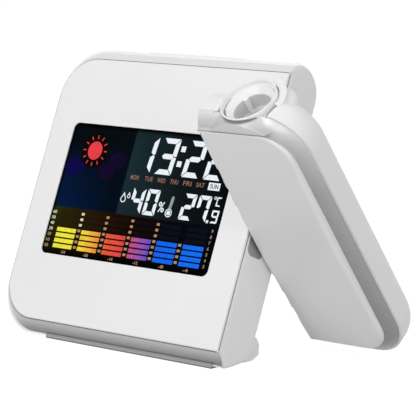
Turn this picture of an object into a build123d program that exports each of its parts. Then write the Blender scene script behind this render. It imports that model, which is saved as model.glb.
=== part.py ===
from build123d import *
from math import cos, radians, sin
import os

os.makedirs("parts", exist_ok=True)

# A projection alarm clock: a leaning body with a display, and beside it an arm that
# swings on a hinge and throws the time on a wall through a lens in its end.
# Millimetres and degrees. The origin lies on the floor, in the middle of the front foot.

# ---------------------------------------------------------------- driving dimensions
# Body, measured on its leaning face
body_width = 97.0
face_height = 91.5
slab_depth = 17.3
lean = 22.4
body_corner = 13.5
face_lift = 6.5            # lower edge of the face above the floor
face_reach = 7.8           # lower edge of the face in front of the origin
wall = 1.6                 # casing wall
face_plate = 2.0           # thickness of the face of either casing half
running_gap = 0.06         # round fits that turn or slide
seat_gap = 0.1             # pieces that drop into a pocket
part_line = 0.05           # between moulded halves

# Silver band round the face, and the housing behind it
band_start = 0.6
band_end = 4.4
band_flare = 3.7           # how far the band has spread where it meets the housing
band_crown = 0.45          # how much the band bulges
band_seat = 0.05
housing_flare = 4.6
rear_round = 9.7
housing_floor = 1.0        # flat underside above the floor

# Side panel at the hinge end
groove_start = 0.9
groove_end = 1.8
groove_depth = 0.7
panel_edge_round = 0.6
panel_inset = 1.0          # the panel stands back from the band's end
recess_height = 27.2
recess_corner = 2.5
recess_depth = 0.8
recess_front = 2.3
recess_back = 10.6
pocket_gap = 0.5           # round the hinge washer
end_wall = 1.0             # the housing's own wall behind the panel

# Display
window_left_margin = 10.7   # from the body's sides, lower edge and top to the window
window_right_margin = 11.8
window_bottom = 22.7
window_top_margin = 22.9
window_corner = 2.2
window_thickness = 1.1
window_sink = 0.3
window_ledge = 1.2
lcd_thickness = 1.5
backlight_thickness = 2.6
tray_wall = 0.7
tray_back = 1.0

# Circuit board and what stands on it
board_left_margin = 11.1
board_right_margin = 12.0
board_bottom = 25.4
board_top_margin = 6.5
board_thickness = 1.6
board_depth = 8.6
board_post_radius = 2.0
processor_size = 14.0
radio_chip_size = 6.0
driver_chip_size = 6.0
chip_thickness = 1.4
crystal_length = 8.0
capacitor_radius = 2.5
capacitor_height = 4.4
capacitor_pitch = 7.0

# Snooze bar
snooze_left_margin = 30.2   # from the body's sides to the bar
snooze_right_margin = 24.1
snooze_front = 5.4
snooze_back = 11.4
snooze_proud = 0.7
snooze_flange = 1.4
snooze_flange_rise = 1.1    # flange above the face's upper edge
snooze_gap = 0.2
snooze_travel = 0.7

# Rear buttons
button_names = ("mode_button", "set_button", "up_button", "down_button")
button_pitch = 14.0
button_row_x = 3.0
button_row_drop = 17.5      # the row below the face's upper edge
button_radius = 3.0
button_flange = 0.8
button_proud = 0.9
button_gap = 0.15
button_lip = 0.9
switch_size = 6.0
switch_height = 2.2
plunger_radius = 1.6
plunger_height = 1.2
switch_gap = 1.0           # between a button's stem and the switch under it

# Battery bay
cell_radius = 5.25
cell_length = 43.5
nub_radius = 1.9
nub_length = 1.0
cell_depth = 10.5
cell_lower = 7.4
cell_pitch = 10.7
bay_wall = 1.2
door_bottom = 2.0
door_top = 23.6
door_thickness = 1.4
grip_width = 12.0
grip_height = 5.0
door_gap = 0.2
contact_thickness = 0.4
contact_size = 8.0
spring_length = 3.8
spring_radius = 2.4
spring_wire = 0.35
spring_pitch = 0.95

# Feet
foot_left_margin = 19.5
foot_right_margin = 3.5
foot_front = -4.9
foot_back = 1.3
foot_bottom = 0.3
foot_corner = 2.0
strip_margin = 0.9
fin_width = 18.5
fin_reach = 26.5
fin_tip_height = 2.6
fin_clearance = 0.3        # the fins stop this far above the floor
fin_root_height = 10.2
flank_reach = 19.6
fin_tip_width = 6.0        # what is left of the fin's width at its tip
pad_inset = 1.5            # pad from the middle of the fin's width
flank_lean = 5.8            # how far a fin's end leans in at its tip
pad_radius = 2.6
pad_pocket = 0.4

# Screws
screw_radius = 1.1
screw_head_radius = 2.1
screw_head_height = 1.5
screw_tip = 6.0
screw_sink = 0.4
post_radius = 2.4
post_end = 11.0
boss_wall = 1.2
post_margin = 8.0           # screws from the body's sides, and from its top and bottom
post_top_margin = 11.5
post_bottom = 16.0

# Rear openings
jack_margin = 16.5
jack_height = 36.0
jack_nose = 2.5
jack_hole = 1.75
buzzer_margin = 22.5
buzzer_drop = 36.5
buzzer_radius = 6.0
buzzer_thickness = 2.4
sound_hole = 0.7
vent_margin = 21.5
vent_drop = 43.5
vent_length = 13.0
vent_width = 1.2
vent_pitch = 3.0
vent_count = 5

# Hinge between body and arm
arm_gap = 0.4
shaft_radius = 4.0
shaft_bore = 2.6
hinge_boss = 3.0
hinge_boss_radius = 6.2
washer_radius = 5.7
washer_gap = 0.1
spring_washer_radius = 6.0
spring_washer_thickness = 1.1
nut_radius = 6.2
nut_thickness = 2.3
shaft_end = 0.6
shaft_flange_radius = 6.4
shaft_flange = 2.0

# Projector arm, measured on its own face
arm_swing = 59.5           # how far it is turned forward from flush with the body
arm_width = 33.3
arm_overhang = 0.4         # the arm is this much longer than the body's face at each end
arm_proud = 0.6            # and its face stands this far in front when it is upright
arm_corner = 10.7
arm_edge_round = 1.3
arm_crown = 1.4            # the arm's face bulges this much between its ends
arm_band_start = 1.2
lens_offset = 16.35        # lens axis from the arm's hinge side
lens_depth = 10.0
lens_rise = 4.85           # rim of the lens collar beyond the arm's end
boss_radius = 11.9
boss_length = 19.9
boss_runout = 6.0
saddle_drop = 1.4          # band and shell round the collar end this far below its rim
saddle_thickness = 0.8
saddle_wall = 0.75
saddle_spread = 4.6        # how far the saddle widens towards the face
saddle_gap = 0.3
arm_post_near = 6.5        # screws from the arm's hinge side, far side and lower end
arm_post_far = 8.8
arm_post_low = 8.75
arm_post_middle = -5.0

# Lens collar, focus ring and optics, each radius about the lens axis
rim_radius = 9.2
rim_wall = 0.55
rim_height = 4.0
neck_radius = 7.7
neck_bore = 6.86
neck_wall = 0.8
neck_wide = 5.6            # the neck is narrower below this length
throat_bore = 6.2
neck_length = 8.5
ledge_drop = 1.6           # ledge below the rim
slot_middle = 200.0        # direction of the gap in the ledge
slot_angle = 58.0
ring_drop = 1.5            # focus ring's edge below the rim
ring_radius = 8.1
ring_mouth = 7.75
ring_well = 6.2
ring_bore = 5.3
ring_gap = 0.1
ring_head = 1.6
cone_depth = 1.8
well_depth = 4.6
ring_length = 10.7
rib_width = 1.5
rib_depth = 0.8
rib_direction = 146.0
stop_width = 1.1           # tab that runs in the ledge's gap
stop_height = 0.6
stop_drop = 0.3            # tab below the ring's edge
barrel_drop = 9.0          # barrel's end below the rim
barrel_length = 8.0
barrel_wall = 0.8
lens_drop = 11.0           # lowest point of the lens's rim below the collar's rim
lens_edge = 1.0
lens_bulge = 0.8
tube_radius = 5.8
tube_wall = 0.9
tube_drop = 20.6           # tube's end below the rim
tube_length = 22.4
slide_size = 10.8
slide_thickness = 1.2
slide_seat = 0.5           # ring that clamps the slide
condenser_place = 11.0     # above the tube's lower end
condenser_edge = 1.2
condenser_bulge = 1.1
led_radius = 2.5
led_height = 4.5
led_board_size = 11.0
led_board_thickness = 1.2
cradle_thickness = 1.5
cradle_places = (3.0, 11.5)   # above the tube's lower end


# ---------------------------------------------------------------- planes of a leaning casing
class Casing:
    """Places on a flat casing that leans back: x along the clock, height up its face,
    depth from its face to the rear."""

    def __init__(self, origin, angle):
        self.origin = origin
        self.up = Vector(0, sin(radians(angle)), cos(radians(angle)))
        self.back = Vector(0, cos(radians(angle)), -sin(radians(angle)))

    def point(self, x, height, depth):
        return self.origin + Vector(x, 0, 0) + self.up * height + self.back * depth

    def face(self, depth, x=0.0, height=0.0):
        """Parallel to the face and seen from the front: x to the right, height upwards."""
        return Plane(origin=self.point(x, height, depth), x_dir=(1, 0, 0), z_dir=self.back * -1)

    def section(self, x):
        """Across the casing at x: depth to the right, height upwards."""
        return Plane(origin=self.point(x, 0, 0), x_dir=self.back, z_dir=(1, 0, 0))

    def level(self, height, x=0.0, depth=0.0):
        """Square to the casing's height: x to the right, depth upwards."""
        return Plane(origin=self.point(x, height, depth), x_dir=(1, 0, 0), z_dir=self.up)

    def rear_axis(self):
        return Axis(self.origin, self.back)


def block(casing, xs, heights, depths, mode=Mode.ADD):
    """Add a box between two values of x, of height and of depth."""
    middle = [(low + high) / 2 for low, high in (xs, heights, depths)]
    size = [abs(high - low) for low, high in (xs, heights, depths)]
    with Locations(casing.face(middle[2], middle[0], middle[1])):
        Box(*size, mode=mode)


def peg(casing, x, height, depths, radius, mode=Mode.ADD):
    """Add a cylinder that runs from front to rear."""
    with Locations(casing.face((depths[0] + depths[1]) / 2, x, height)):
        Cylinder(radius, abs(depths[1] - depths[0]), mode=mode)


def axle(casing, xs, height, depth, radius, mode=Mode.ADD):
    """Add a cylinder that runs along the clock's width."""
    centre = casing.point((xs[0] + xs[1]) / 2, height, depth)
    with Locations(Plane(origin=centre, x_dir=(0, 0, 1), z_dir=(1, 0, 0))):
        Cylinder(radius, abs(xs[1] - xs[0]), mode=mode)


def column(heights, radius, mode=Mode.ADD):
    """Add a cylinder on the lens axis, between two heights."""
    with Locations(arm.level((heights[0] + heights[1]) / 2, lens_x, lens_depth)):
        Cylinder(radius, abs(heights[1] - heights[0]), mode=mode)


def neck_hole():
    """Cut the stepped hole for the lens collar's neck."""
    column((neck_bottom - 1, lens_top), throat_radius + seat_gap, mode=Mode.SUBTRACT)
    column((neck_step - part_line, lens_top), neck_radius + seat_gap, mode=Mode.SUBTRACT)


def outline(flat_x, round_x, low, high, radius):
    """Draw a casing's outline: square corners at flat_x, round ones at round_x."""
    with Locations(((flat_x + round_x) / 2, (low + high) / 2)):
        Rectangle(abs(flat_x - round_x), high - low)
    side = 0 if round_x < flat_x else -1
    fillet(vertices().group_by(Axis.X)[side], radius)


def body_outline(flare):
    outline(body_right, body_left - flare, -flare, face_height + flare, body_corner + flare)


def arm_outline(flare):
    half = arm_half + flare
    outline(arm_left, arm_right + flare, -half, half, arm_corner + flare)


def save(piece, name):
    """Label a finished piece and write it out."""
    piece.part.label = name
    export_step(piece.part, f"parts/{name}.step")


# ---------------------------------------------------------------- derived places
body_left = -body_width / 2
body_right = body_width / 2
panel_x = body_right - wall
window_width = body_width - window_left_margin - window_right_margin
window_height = face_height - window_bottom - window_top_margin
window_x = (window_left_margin - window_right_margin) / 2
board_left = body_left + board_left_margin
board_right = body_right - board_right_margin
board_top = face_height - board_top_margin
snooze_left = body_left + snooze_left_margin
snooze_right = body_right - snooze_right_margin
snooze_flange_top = face_height + snooze_flange_rise
button_row_height = face_height - button_row_drop
foot_left = body_left + foot_left_margin
foot_right = body_right - foot_right_margin
fin_inner = body_right - fin_width
flank_x = body_right - flank_lean
body_posts = [(x, height) for height in (post_bottom, face_height - post_top_margin)
              for x in (body_left + post_margin, body_right - post_margin)]
jack_x = body_left + jack_margin
buzzer_x = body_left + buzzer_margin
buzzer_height = face_height - buzzer_drop
vent_x = body_right - vent_margin
vent_height = face_height - vent_drop
arm_left = body_right + arm_gap
arm_right = arm_left + arm_width
inner_depth = slab_depth - wall
bay_half = (cell_length + nub_length + spring_length) / 2 + contact_thickness
door_half = bay_half + bay_wall
half_height = face_height / 2
arm_half = half_height + arm_overhang
lens_top = arm_half + lens_rise
saddle_top = lens_top - saddle_drop
saddle_radius = rim_radius + saddle_wall
crown_radius = (arm_half ** 2 + arm_crown ** 2) / (2 * arm_crown)
boss_seat = lens_top - rim_height
boss_bottom = boss_seat - boss_length
neck_step = boss_seat - neck_wide
neck_bottom = boss_seat - neck_length
rim_bottom = boss_seat + part_line
throat_radius = throat_bore + neck_wall
throat_top = neck_step + neck_wall + 0.1
ledge_top = lens_top - ledge_drop
ring_top = lens_top - ring_drop
ring_bottom = ring_top - ring_length
ring_seat = ring_top - ring_head - ring_gap
well_floor = ring_top - cone_depth - well_depth
barrel_top = lens_top - barrel_drop
lens_seat = lens_top - lens_drop
tube_top = lens_top - tube_drop
tube_bottom = tube_top - tube_length
condenser_height = tube_bottom + condenser_place
cradle_heights = [tube_bottom + place for place in cradle_places]
arm_posts = ((arm_post_near, arm_post_low - arm_half),
             (arm_width - arm_post_far, arm_post_low - arm_half),
             (arm_width - arm_post_far, arm_post_middle))
screw_seat = slab_depth - screw_sink - screw_head_height
boss_outer = screw_head_radius + 2 * seat_gap + boss_wall
lens_x = arm_left + lens_offset
pivot_depth = slab_depth / 2
arm_pivot_depth = pivot_depth + arm_proud

body = Casing(Vector(0, -face_reach, face_lift), lean)
pivot = body.point(0, half_height, pivot_depth)
arm_lean = lean - arm_swing
arm = Casing(pivot - Casing(Vector(), arm_lean).back * arm_pivot_depth, arm_lean)

window_left = window_x - window_width / 2
window_right = window_x + window_width / 2
window_top = window_bottom + window_height
lcd_front = face_plate + part_line
lcd_back = lcd_front + lcd_thickness
backlight_back = lcd_back + backlight_thickness
bay_roof_front = backlight_back + tray_back + 1.0
board_back = board_depth + board_thickness
button_inner = board_back + switch_height + plunger_height + switch_gap
snooze_stem = snooze_flange_top - snooze_flange - 1.6
cell_heights = (cell_lower, cell_lower + cell_pitch)
door_front = slab_depth - door_thickness


pad_x = (fin_inner + flank_x) / 2 - pad_inset
pad_y = fin_reach - pad_radius - 1.6
toe_points = ((3.7, -2.2), (4.7, -3.7))
toe_heel = 6.4
toe_start = 0.6
panel_toe = 9.3
panel_heel = 13.0
panel_rear_low = 0.9


def height_above_floor(depth, level):
    """Height up the body's face at which a point at this depth is level above the floor."""
    return (level - face_lift + depth * sin(radians(lean))) / cos(radians(lean))


def panel_low(depth):
    """Lower edge of the side panel: flat on the floor side, then rising to the rear."""
    rise = 0 if depth <= panel_toe else (depth - panel_toe) * 0.1
    return height_above_floor(depth, foot_bottom + rise)


def band_form(start, draw_outline):
    """Solid whose sides spread outwards in a shallow bulge, as the silver band does."""
    middle_depth = (start + band_end) / 2
    with BuildPart() as form:
        for depth, flare in (
            (start, band_seat),
            (middle_depth, (band_seat + band_flare) / 2 + band_crown),
            (band_end, band_flare),
        ):
            with BuildSketch(draw_outline[0].face(depth)):
                draw_outline[1](flare)
        loft()
    return form.part


def straight_form(casing, draw_outline, flare, depths):
    with BuildPart() as form:
        with BuildSketch(casing.face(depths[0])):
            draw_outline(flare)
        extrude(amount=depths[0] - depths[1])
    return form.part


def body_form(inset):
    """Outer form of the rear housing, or with an inset the hollow inside it."""
    reach = body_left - housing_flare + inset
    top = face_height + housing_flare - inset
    below = -3 * housing_flare
    radius = body_corner + housing_flare - inset
    with BuildPart() as form:
        with BuildSketch(body.face(band_end)):
            with Locations(((reach + panel_x) / 2, (below + top) / 2)):
                Rectangle(panel_x - reach, top - below)
            fillet(vertices().group_by(Axis.X)[0].sort_by(Axis.Y)[-1], radius)
        extrude(amount=band_end - (slab_depth - inset))
        rear = form.faces().sort_by(body.rear_axis())[-1]
        keep = rear.edges().filter_by(lambda e: e.center().X < panel_x - 1)
        keep = keep.filter_by(lambda e: (e.center() - body.origin).dot(body.up) > below / 2)
        fillet(keep, rear_round - inset)
    return form.part


def body_lower_form(inset):
    """The housing's outline with its lower round corner, cut level above the floor."""
    level = housing_floor + inset
    with BuildPart() as form:
        with BuildSketch(body.face(0)):
            body_outline(housing_flare - inset)
        extrude(amount=-2 * slab_depth)
        with Locations((0, 0, level)):
            Box(4 * body_width, 4 * body_width, 4 * body_width, mode=Mode.INTERSECT,
                align=(Align.CENTER, Align.CENTER, Align.MIN))
    return form.part


# ---------------------------------------------------------------- body: face and display
with BuildPart() as front_bezel:
    with BuildSketch(body.face(0)):
        body_outline(0)
    extrude(amount=-band_end)
    front = faces().sort_by(body.rear_axis())[0]
    fillet(front.edges(), part_line * 9)
    with BuildSketch(body.face(face_plate)):
        outline(panel_x, body_left + wall, wall, face_height - wall, body_corner - wall)
    extrude(amount=face_plate - band_end, mode=Mode.SUBTRACT)
    block(body, (panel_x - part_line, body_right + 1), (-1, face_height + 1),
          (groove_end, band_end + 1), mode=Mode.SUBTRACT)
    block(body, (body_right - groove_depth, body_right + 1), (-1, face_height + 1),
          (groove_start, groove_end), mode=Mode.SUBTRACT)
    with BuildSketch(body.face(0)):
        with Locations((window_x, window_bottom + window_height / 2)):
            RectangleRounded(window_width + 2 * seat_gap, window_height + 2 * seat_gap,
                             window_corner + seat_gap)
    extrude(amount=-(window_sink + window_thickness), mode=Mode.SUBTRACT)
    with BuildSketch(body.face(0)):
        with Locations((window_x, window_bottom + window_height / 2)):
            RectangleRounded(window_width - 2 * window_ledge, window_height - 2 * window_ledge,
                             window_corner - window_ledge / 2)
    extrude(amount=-face_plate, mode=Mode.SUBTRACT)
    for x, height in body_posts:
        peg(body, x, height, (face_plate - part_line, post_end), post_radius)
        peg(body, x, height, (face_plate, post_end), screw_radius + part_line, mode=Mode.SUBTRACT)
save(front_bezel, "front_bezel")

with BuildPart() as display_window:
    with BuildSketch(body.face(window_sink)):
        with Locations((window_x, window_bottom + window_height / 2)):
            RectangleRounded(window_width, window_height, window_corner)
    extrude(amount=-window_thickness)
save(display_window, "display_window")

with BuildPart() as lcd_panel:
    block(body, (window_left + tray_wall, window_right - tray_wall),
          (window_bottom + tray_wall, window_top - tray_wall), (lcd_front, lcd_back))
save(lcd_panel, "lcd_panel")

with BuildPart() as backlight_guide:
    block(body, (window_left + tray_wall, window_right - tray_wall),
          (window_bottom + tray_wall, window_top - tray_wall), (lcd_back, backlight_back))
save(backlight_guide, "backlight_guide")

with BuildPart() as display_tray:
    block(body, (window_left, window_right), (window_bottom, window_top),
          (lcd_front, backlight_back + tray_back))
    block(body, (window_left + tray_wall, window_right - tray_wall),
          (window_bottom + tray_wall, window_top - tray_wall), (0, backlight_back), mode=Mode.SUBTRACT)
    for x in (window_left + 5, window_right - 5):
        for height in (window_bottom + 5, window_top - 5):
            peg(body, x, height, (backlight_back, board_depth), board_post_radius)
save(display_tray, "display_tray")

# ---------------------------------------------------------------- body: rear housing
body_outer = body_form(0)
body_inner = body_form(wall)
lower_outer = body_lower_form(0)
lower_inner = body_lower_form(wall)

# A fin behind each end of the body is the rear foot. Its end leans in towards the tip.
fin_root = body.point(0, fin_root_height, slab_depth - wall / 2)
fin_foot = body.point(0, height_above_floor(slab_depth - wall / 2, fin_clearance),
                      slab_depth - wall / 2)
with BuildPart() as right_fin:
    with BuildSketch(Plane.YZ.offset(fin_inner)):
        with BuildLine():
            Polyline((fin_root.Y, fin_root.Z), (fin_foot.Y, fin_clearance),
                     (fin_reach - 1, fin_clearance))
            ThreePointArc((fin_reach - 1, fin_clearance), (fin_reach, fin_clearance + 1.1),
                          (fin_reach - 1, fin_tip_height))
            ThreePointArc((fin_reach - 1, fin_tip_height),
                          ((fin_root.Y + fin_reach) / 2 - 1.4, (fin_root.Z + fin_tip_height) / 2 - 1.7),
                          (fin_root.Y, fin_root.Z))
        make_face()
    extrude(amount=panel_x - fin_inner)
    flank_top = Vector(body_right, body.point(0, fin_root_height, slab_depth).Y, fin_root.Z)
    flank_foot = Vector(body_right, body.point(0, 0, slab_depth).Y, fin_clearance)
    flank_tip = Vector(flank_x, flank_reach, fin_clearance)
    flank_normal = (flank_tip - flank_foot).cross(flank_top - flank_foot).normalized()
    if flank_normal.X < 0:
        flank_normal = flank_normal * -1
    split(bisect_by=Plane(origin=flank_foot, z_dir=flank_normal), keep=Keep.BOTTOM)
    tip_normal = Vector(fin_reach - flank_reach, flank_x - fin_inner - fin_tip_width, 0)
    split(bisect_by=Plane(origin=flank_tip, z_dir=tip_normal), keep=Keep.BOTTOM)
with BuildPart() as left_fin:
    mirror(right_fin.part, about=Plane.YZ)

with BuildPart() as rear_housing:
    add(body_outer)
    add(lower_outer, mode=Mode.INTERSECT)
    with BuildPart(mode=Mode.PRIVATE) as hollow:
        add(body_inner)
        add(lower_inner, mode=Mode.INTERSECT)
        block(body, (panel_x - end_wall, panel_x + 5), (-8, face_height + housing_flare + 5),
              (0, slab_depth + 5), mode=Mode.SUBTRACT)
    add(hollow.part, mode=Mode.SUBTRACT)
    add(right_fin.part)
    add(left_fin.part)
    # Screw bosses, and a hole for the hinge
    for x, height in body_posts:
        peg(body, x, height, (post_end + part_line, slab_depth - wall / 2), boss_outer)
        peg(body, x, height, (post_end, slab_depth), screw_radius + seat_gap, mode=Mode.SUBTRACT)
        peg(body, x, height, (screw_seat, slab_depth + 1), screw_head_radius + 2 * seat_gap,
            mode=Mode.SUBTRACT)
    axle(body, (panel_x - 2 * end_wall, panel_x + 1), half_height, pivot_depth,
         hinge_boss_radius + seat_gap, mode=Mode.SUBTRACT)
    # Battery bay: two end plates and a roof that close on the door
    for side in (-1, 1):
        block(body, (side * bay_half, side * door_half), (door_bottom - 0.5, window_bottom - seat_gap),
              (band_end + part_line, door_front))
        block(body, (side * bay_half, side * door_half), (window_bottom - 1, door_top + bay_wall),
              (bay_roof_front, door_front))
    block(body, (-door_half, door_half), (door_top + door_gap, door_top + bay_wall),
          (bay_roof_front, inner_depth + part_line))
    block(body, (-door_half - door_gap, door_half + door_gap),
          (door_bottom - door_gap, door_top + door_gap), (door_front, slab_depth + 1),
          mode=Mode.SUBTRACT)
    block(body, (-bay_half, bay_half), (door_bottom - door_gap, door_top + door_gap),
          (inner_depth - 1, slab_depth + 1), mode=Mode.SUBTRACT)
    # Openings for the snooze bar and the buttons
    block(body, (snooze_left - snooze_gap, snooze_right + snooze_gap),
          (face_height, face_height + housing_flare + 2),
          (snooze_front - snooze_gap, snooze_back + snooze_gap), mode=Mode.SUBTRACT)
    for index in range(len(button_names)):
        x = button_row_x + (index - (len(button_names) - 1) / 2) * button_pitch
        peg(body, x, button_row_height, (inner_depth - 1, slab_depth + 1),
            button_radius + button_gap, mode=Mode.SUBTRACT)
    # Power inlet, sound holes and vent
    peg(body, jack_x, jack_height, (inner_depth - 1, slab_depth + 1), jack_nose + seat_gap,
        mode=Mode.SUBTRACT)
    peg(body, buzzer_x, buzzer_height, (inner_depth - buzzer_thickness, inner_depth + part_line),
        buzzer_radius + seat_gap + 0.8)
    peg(body, buzzer_x, buzzer_height, (inner_depth - buzzer_thickness - 1, inner_depth),
        buzzer_radius + seat_gap, mode=Mode.SUBTRACT)
    with BuildSketch(body.face(slab_depth + 1)):
        with Locations((buzzer_x, buzzer_height)):
            with PolarLocations(3 * sound_hole, 6):
                Circle(sound_hole)
            Circle(sound_hole)
        with Locations((vent_x, vent_height)):
            with GridLocations(1, vent_pitch, 1, vent_count):
                SlotOverall(vent_length, vent_width)
    extrude(amount=2 * wall, mode=Mode.SUBTRACT)
    # Pockets for the rear pads
    for side in (-1, 1):
        with Locations((side * pad_x, pad_y, fin_clearance + pad_pocket / 2)):
            Cylinder(pad_radius + part_line, pad_pocket, mode=Mode.SUBTRACT)
save(rear_housing, "rear_housing")

# ---------------------------------------------------------------- body: band and side panel
with BuildPart() as side_panel:
    crest = face_height + housing_flare
    lap = band_end + seat_gap
    with BuildSketch(body.section(panel_x)):
        with BuildLine():
            Polyline((slab_depth - rear_round, crest), (lap, crest),
                     (lap, face_height + band_flare - panel_inset), (groove_end, face_height),
                     (groove_end, -toe_start), *toe_points, (toe_heel, panel_low(toe_heel)),
                     (panel_toe, panel_low(panel_toe)),
                     (panel_heel, panel_low(panel_heel)), (slab_depth - 1.2, panel_rear_low),
                     (slab_depth, fin_root_height), (slab_depth, crest - rear_round))
            CenterArc((slab_depth - rear_round, crest - rear_round), rear_round, 0, 90)
        make_face()
    extrude(amount=wall)
    outer = side_panel.faces().sort_by(Axis.X)[-1]
    chamfer(outer.edges(), panel_edge_round)
    axle(body, (panel_x - hinge_boss, panel_x), half_height, pivot_depth, hinge_boss_radius)
    with BuildSketch(body.section(body_right)):
        with Locations(((recess_front + recess_back) / 2, half_height)):
            RectangleRounded(recess_back - recess_front, recess_height, recess_corner)
        with Locations((pivot_depth, half_height)):
            Circle(washer_radius + pocket_gap)
    extrude(amount=-recess_depth, mode=Mode.SUBTRACT)
    axle(body, (panel_x - hinge_boss - 1, body_right), half_height, pivot_depth,
         shaft_radius + running_gap, mode=Mode.SUBTRACT)
save(side_panel, "side_panel")

band_blank = band_form(band_start, (body, body_outline))
bezel_blank = straight_form(body, body_outline, part_line, (-1, slab_depth))
with BuildPart() as trim_band:
    add(band_blank)
    add(bezel_blank, mode=Mode.SUBTRACT)
    with BuildSketch(body.section(panel_x - part_line)):
        Polygon((groove_end, face_height - 1), (groove_end, face_height),
                (band_end + seat_gap, face_height + band_flare - panel_inset + seat_gap),
                (2 * band_end, face_height + band_flare), (2 * band_end, face_height - 1),
                align=None)
        Polygon((groove_end, 1), (groove_end, -toe_start - seat_gap),
                *[(depth - seat_gap, height - seat_gap) for depth, height in toe_points],
                (toe_heel, panel_low(toe_heel) - seat_gap),
                (2 * band_end, panel_low(toe_heel) - seat_gap), (2 * band_end, 1), align=None)
    extrude(amount=2 * wall, mode=Mode.SUBTRACT)
save(trim_band, "trim_band")

# ---------------------------------------------------------------- body: feet
with BuildPart() as front_foot:
    with BuildSketch(Plane.XY.offset(foot_bottom)):
        with Locations(((foot_left + foot_right) / 2, (foot_front + foot_back) / 2)):
            RectangleRounded(foot_right - foot_left, foot_back - foot_front, foot_corner)
    extrude(amount=housing_floor - foot_bottom)
    strip_size = (foot_right - foot_left - 2 * strip_margin, foot_back - foot_front - 2 * strip_margin)
    with Locations(((foot_left + foot_right) / 2, (foot_front + foot_back) / 2,
                    foot_bottom + pad_pocket / 2)):
        Box(*strip_size, pad_pocket, mode=Mode.SUBTRACT)
save(front_foot, "front_foot")

with BuildPart() as rubber_feet:
    with Locations(((foot_left + foot_right) / 2, (foot_front + foot_back) / 2,
                    (foot_bottom + pad_pocket) / 2)):
        Box(strip_size[0] - 2 * part_line, strip_size[1] - 2 * part_line, foot_bottom + pad_pocket)
    with Locations((pad_x, pad_y, (fin_clearance + pad_pocket) / 2),
                   (-pad_x, pad_y, (fin_clearance + pad_pocket) / 2)):
        Cylinder(pad_radius, fin_clearance + pad_pocket)
save(rubber_feet, "rubber_feet")

# ---------------------------------------------------------------- body: snooze bar and buttons
snooze_blank = body_form(-snooze_proud)
snooze_middle = (snooze_left + snooze_right) / 2
snooze_half = (snooze_right - snooze_left) / 2
with BuildPart() as snooze_bar:
    add(snooze_blank)
    block(body, (snooze_left, snooze_right), (snooze_flange_top - 1, face_height + 2 * housing_flare),
          (snooze_front, snooze_back), mode=Mode.INTERSECT)
    crown = snooze_bar.faces().filter_by(
        lambda f: (f.center() - body.origin).dot(body.up) > face_height + 2.5 and f.area > 30)
    ends = crown.edges().filter_by(lambda e: abs(e.center().X - snooze_middle) > snooze_half - 1)
    fillet(ends, 0.5)
    block(body, (snooze_left - 1.2, snooze_right + 1.2),
          (snooze_flange_top - snooze_flange, snooze_flange_top),
          (snooze_front - 0.5, snooze_back + 0.7))
    block(body, (snooze_middle - 1.6, snooze_middle + 1.6), (snooze_stem, snooze_flange_top - 1),
          (board_back + 0.4, snooze_back - 0.2))
save(snooze_bar, "snooze_bar")

button_places = {}
for index, name in enumerate(button_names):
    x = button_row_x + (index - (len(button_names) - 1) / 2) * button_pitch
    button_places[name] = x
    with BuildPart() as rear_button:
        peg(body, x, button_row_height, (button_inner, slab_depth + button_proud), button_radius)
        cap = rear_button.faces().sort_by(body.rear_axis())[-1]
        fillet(cap.edges(), 0.5)
        peg(body, x, button_row_height,
            (inner_depth - seat_gap - button_flange, inner_depth - seat_gap),
            button_radius + button_lip)
    save(rear_button, name)

# ---------------------------------------------------------------- body: batteries and their door
with BuildPart() as battery_door:
    block(body, (-door_half, door_half), (door_bottom, door_top), (door_front, slab_depth))
    edge = battery_door.edges().filter_by(
        lambda e: abs((e.center() - body.origin).dot(body.back) - slab_depth) < 0.01)
    chamfer(edge, 0.25)
    # Thumb grip: a shallow dish with three ridges
    block(body, (-grip_width / 2, grip_width / 2), (door_top - grip_height - 1.5, door_top - 1.5),
          (slab_depth - 0.6, slab_depth + 1), mode=Mode.SUBTRACT)
    for step in range(3):
        height = door_top - 1.5 - grip_height * (step + 1) / 4
        block(body, (-grip_width / 2, grip_width / 2), (height - 0.35, height + 0.35),
              (slab_depth - 0.7, slab_depth))
save(battery_door, "battery_door")

with BuildPart() as battery_cells:
    for height, side in zip(cell_heights, (1, -1)):
        # The nub points to the flat contact, the flat end rests on the spring
        nub_tip = side * (bay_half - contact_thickness)
        shoulder = nub_tip - side * nub_length
        axle(body, (shoulder, shoulder - side * cell_length), height, cell_depth, cell_radius)
        axle(body, (nub_tip, shoulder), height, cell_depth, nub_radius)
save(battery_cells, "battery_cells")

with BuildPart() as battery_contacts:
    for side in (-1, 1):
        for height in cell_heights:
            block(body, (side * bay_half, side * (bay_half - contact_thickness)),
                  (height - contact_size / 2, height + contact_size / 2),
                  (cell_depth - contact_size / 2, cell_depth + contact_size / 2))
    # The strip that joins the two cells at one end
    block(body, (bay_half, bay_half - contact_thickness), cell_heights,
          (cell_depth - 1.5, cell_depth + 1.5))
    for height, side in zip(cell_heights, (-1, 1)):
        foot_x = side * (bay_half - contact_thickness)
        centre = body.point(foot_x - side * spring_wire, height, cell_depth)
        with BuildLine():
            coil = Helix(spring_pitch, spring_length - 2 * spring_wire, spring_radius,
                         center=centre, direction=(-side, 0, 0))
        with BuildSketch(Plane(origin=coil @ 0, z_dir=coil % 0)):
            Circle(spring_wire)
        sweep(path=coil, is_frenet=True)
save(battery_contacts, "battery_contacts")

# ---------------------------------------------------------------- body: circuit board
with BuildPart() as main_board:
    block(body, (board_left, board_right), (board_bottom, board_top), (board_depth, board_back))
    chamfer(main_board.edges().filter_by(
        lambda e: e.length < 2 * board_thickness and e.center().X > board_right - 1), 0.4)
save(main_board, "main_board")

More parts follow.
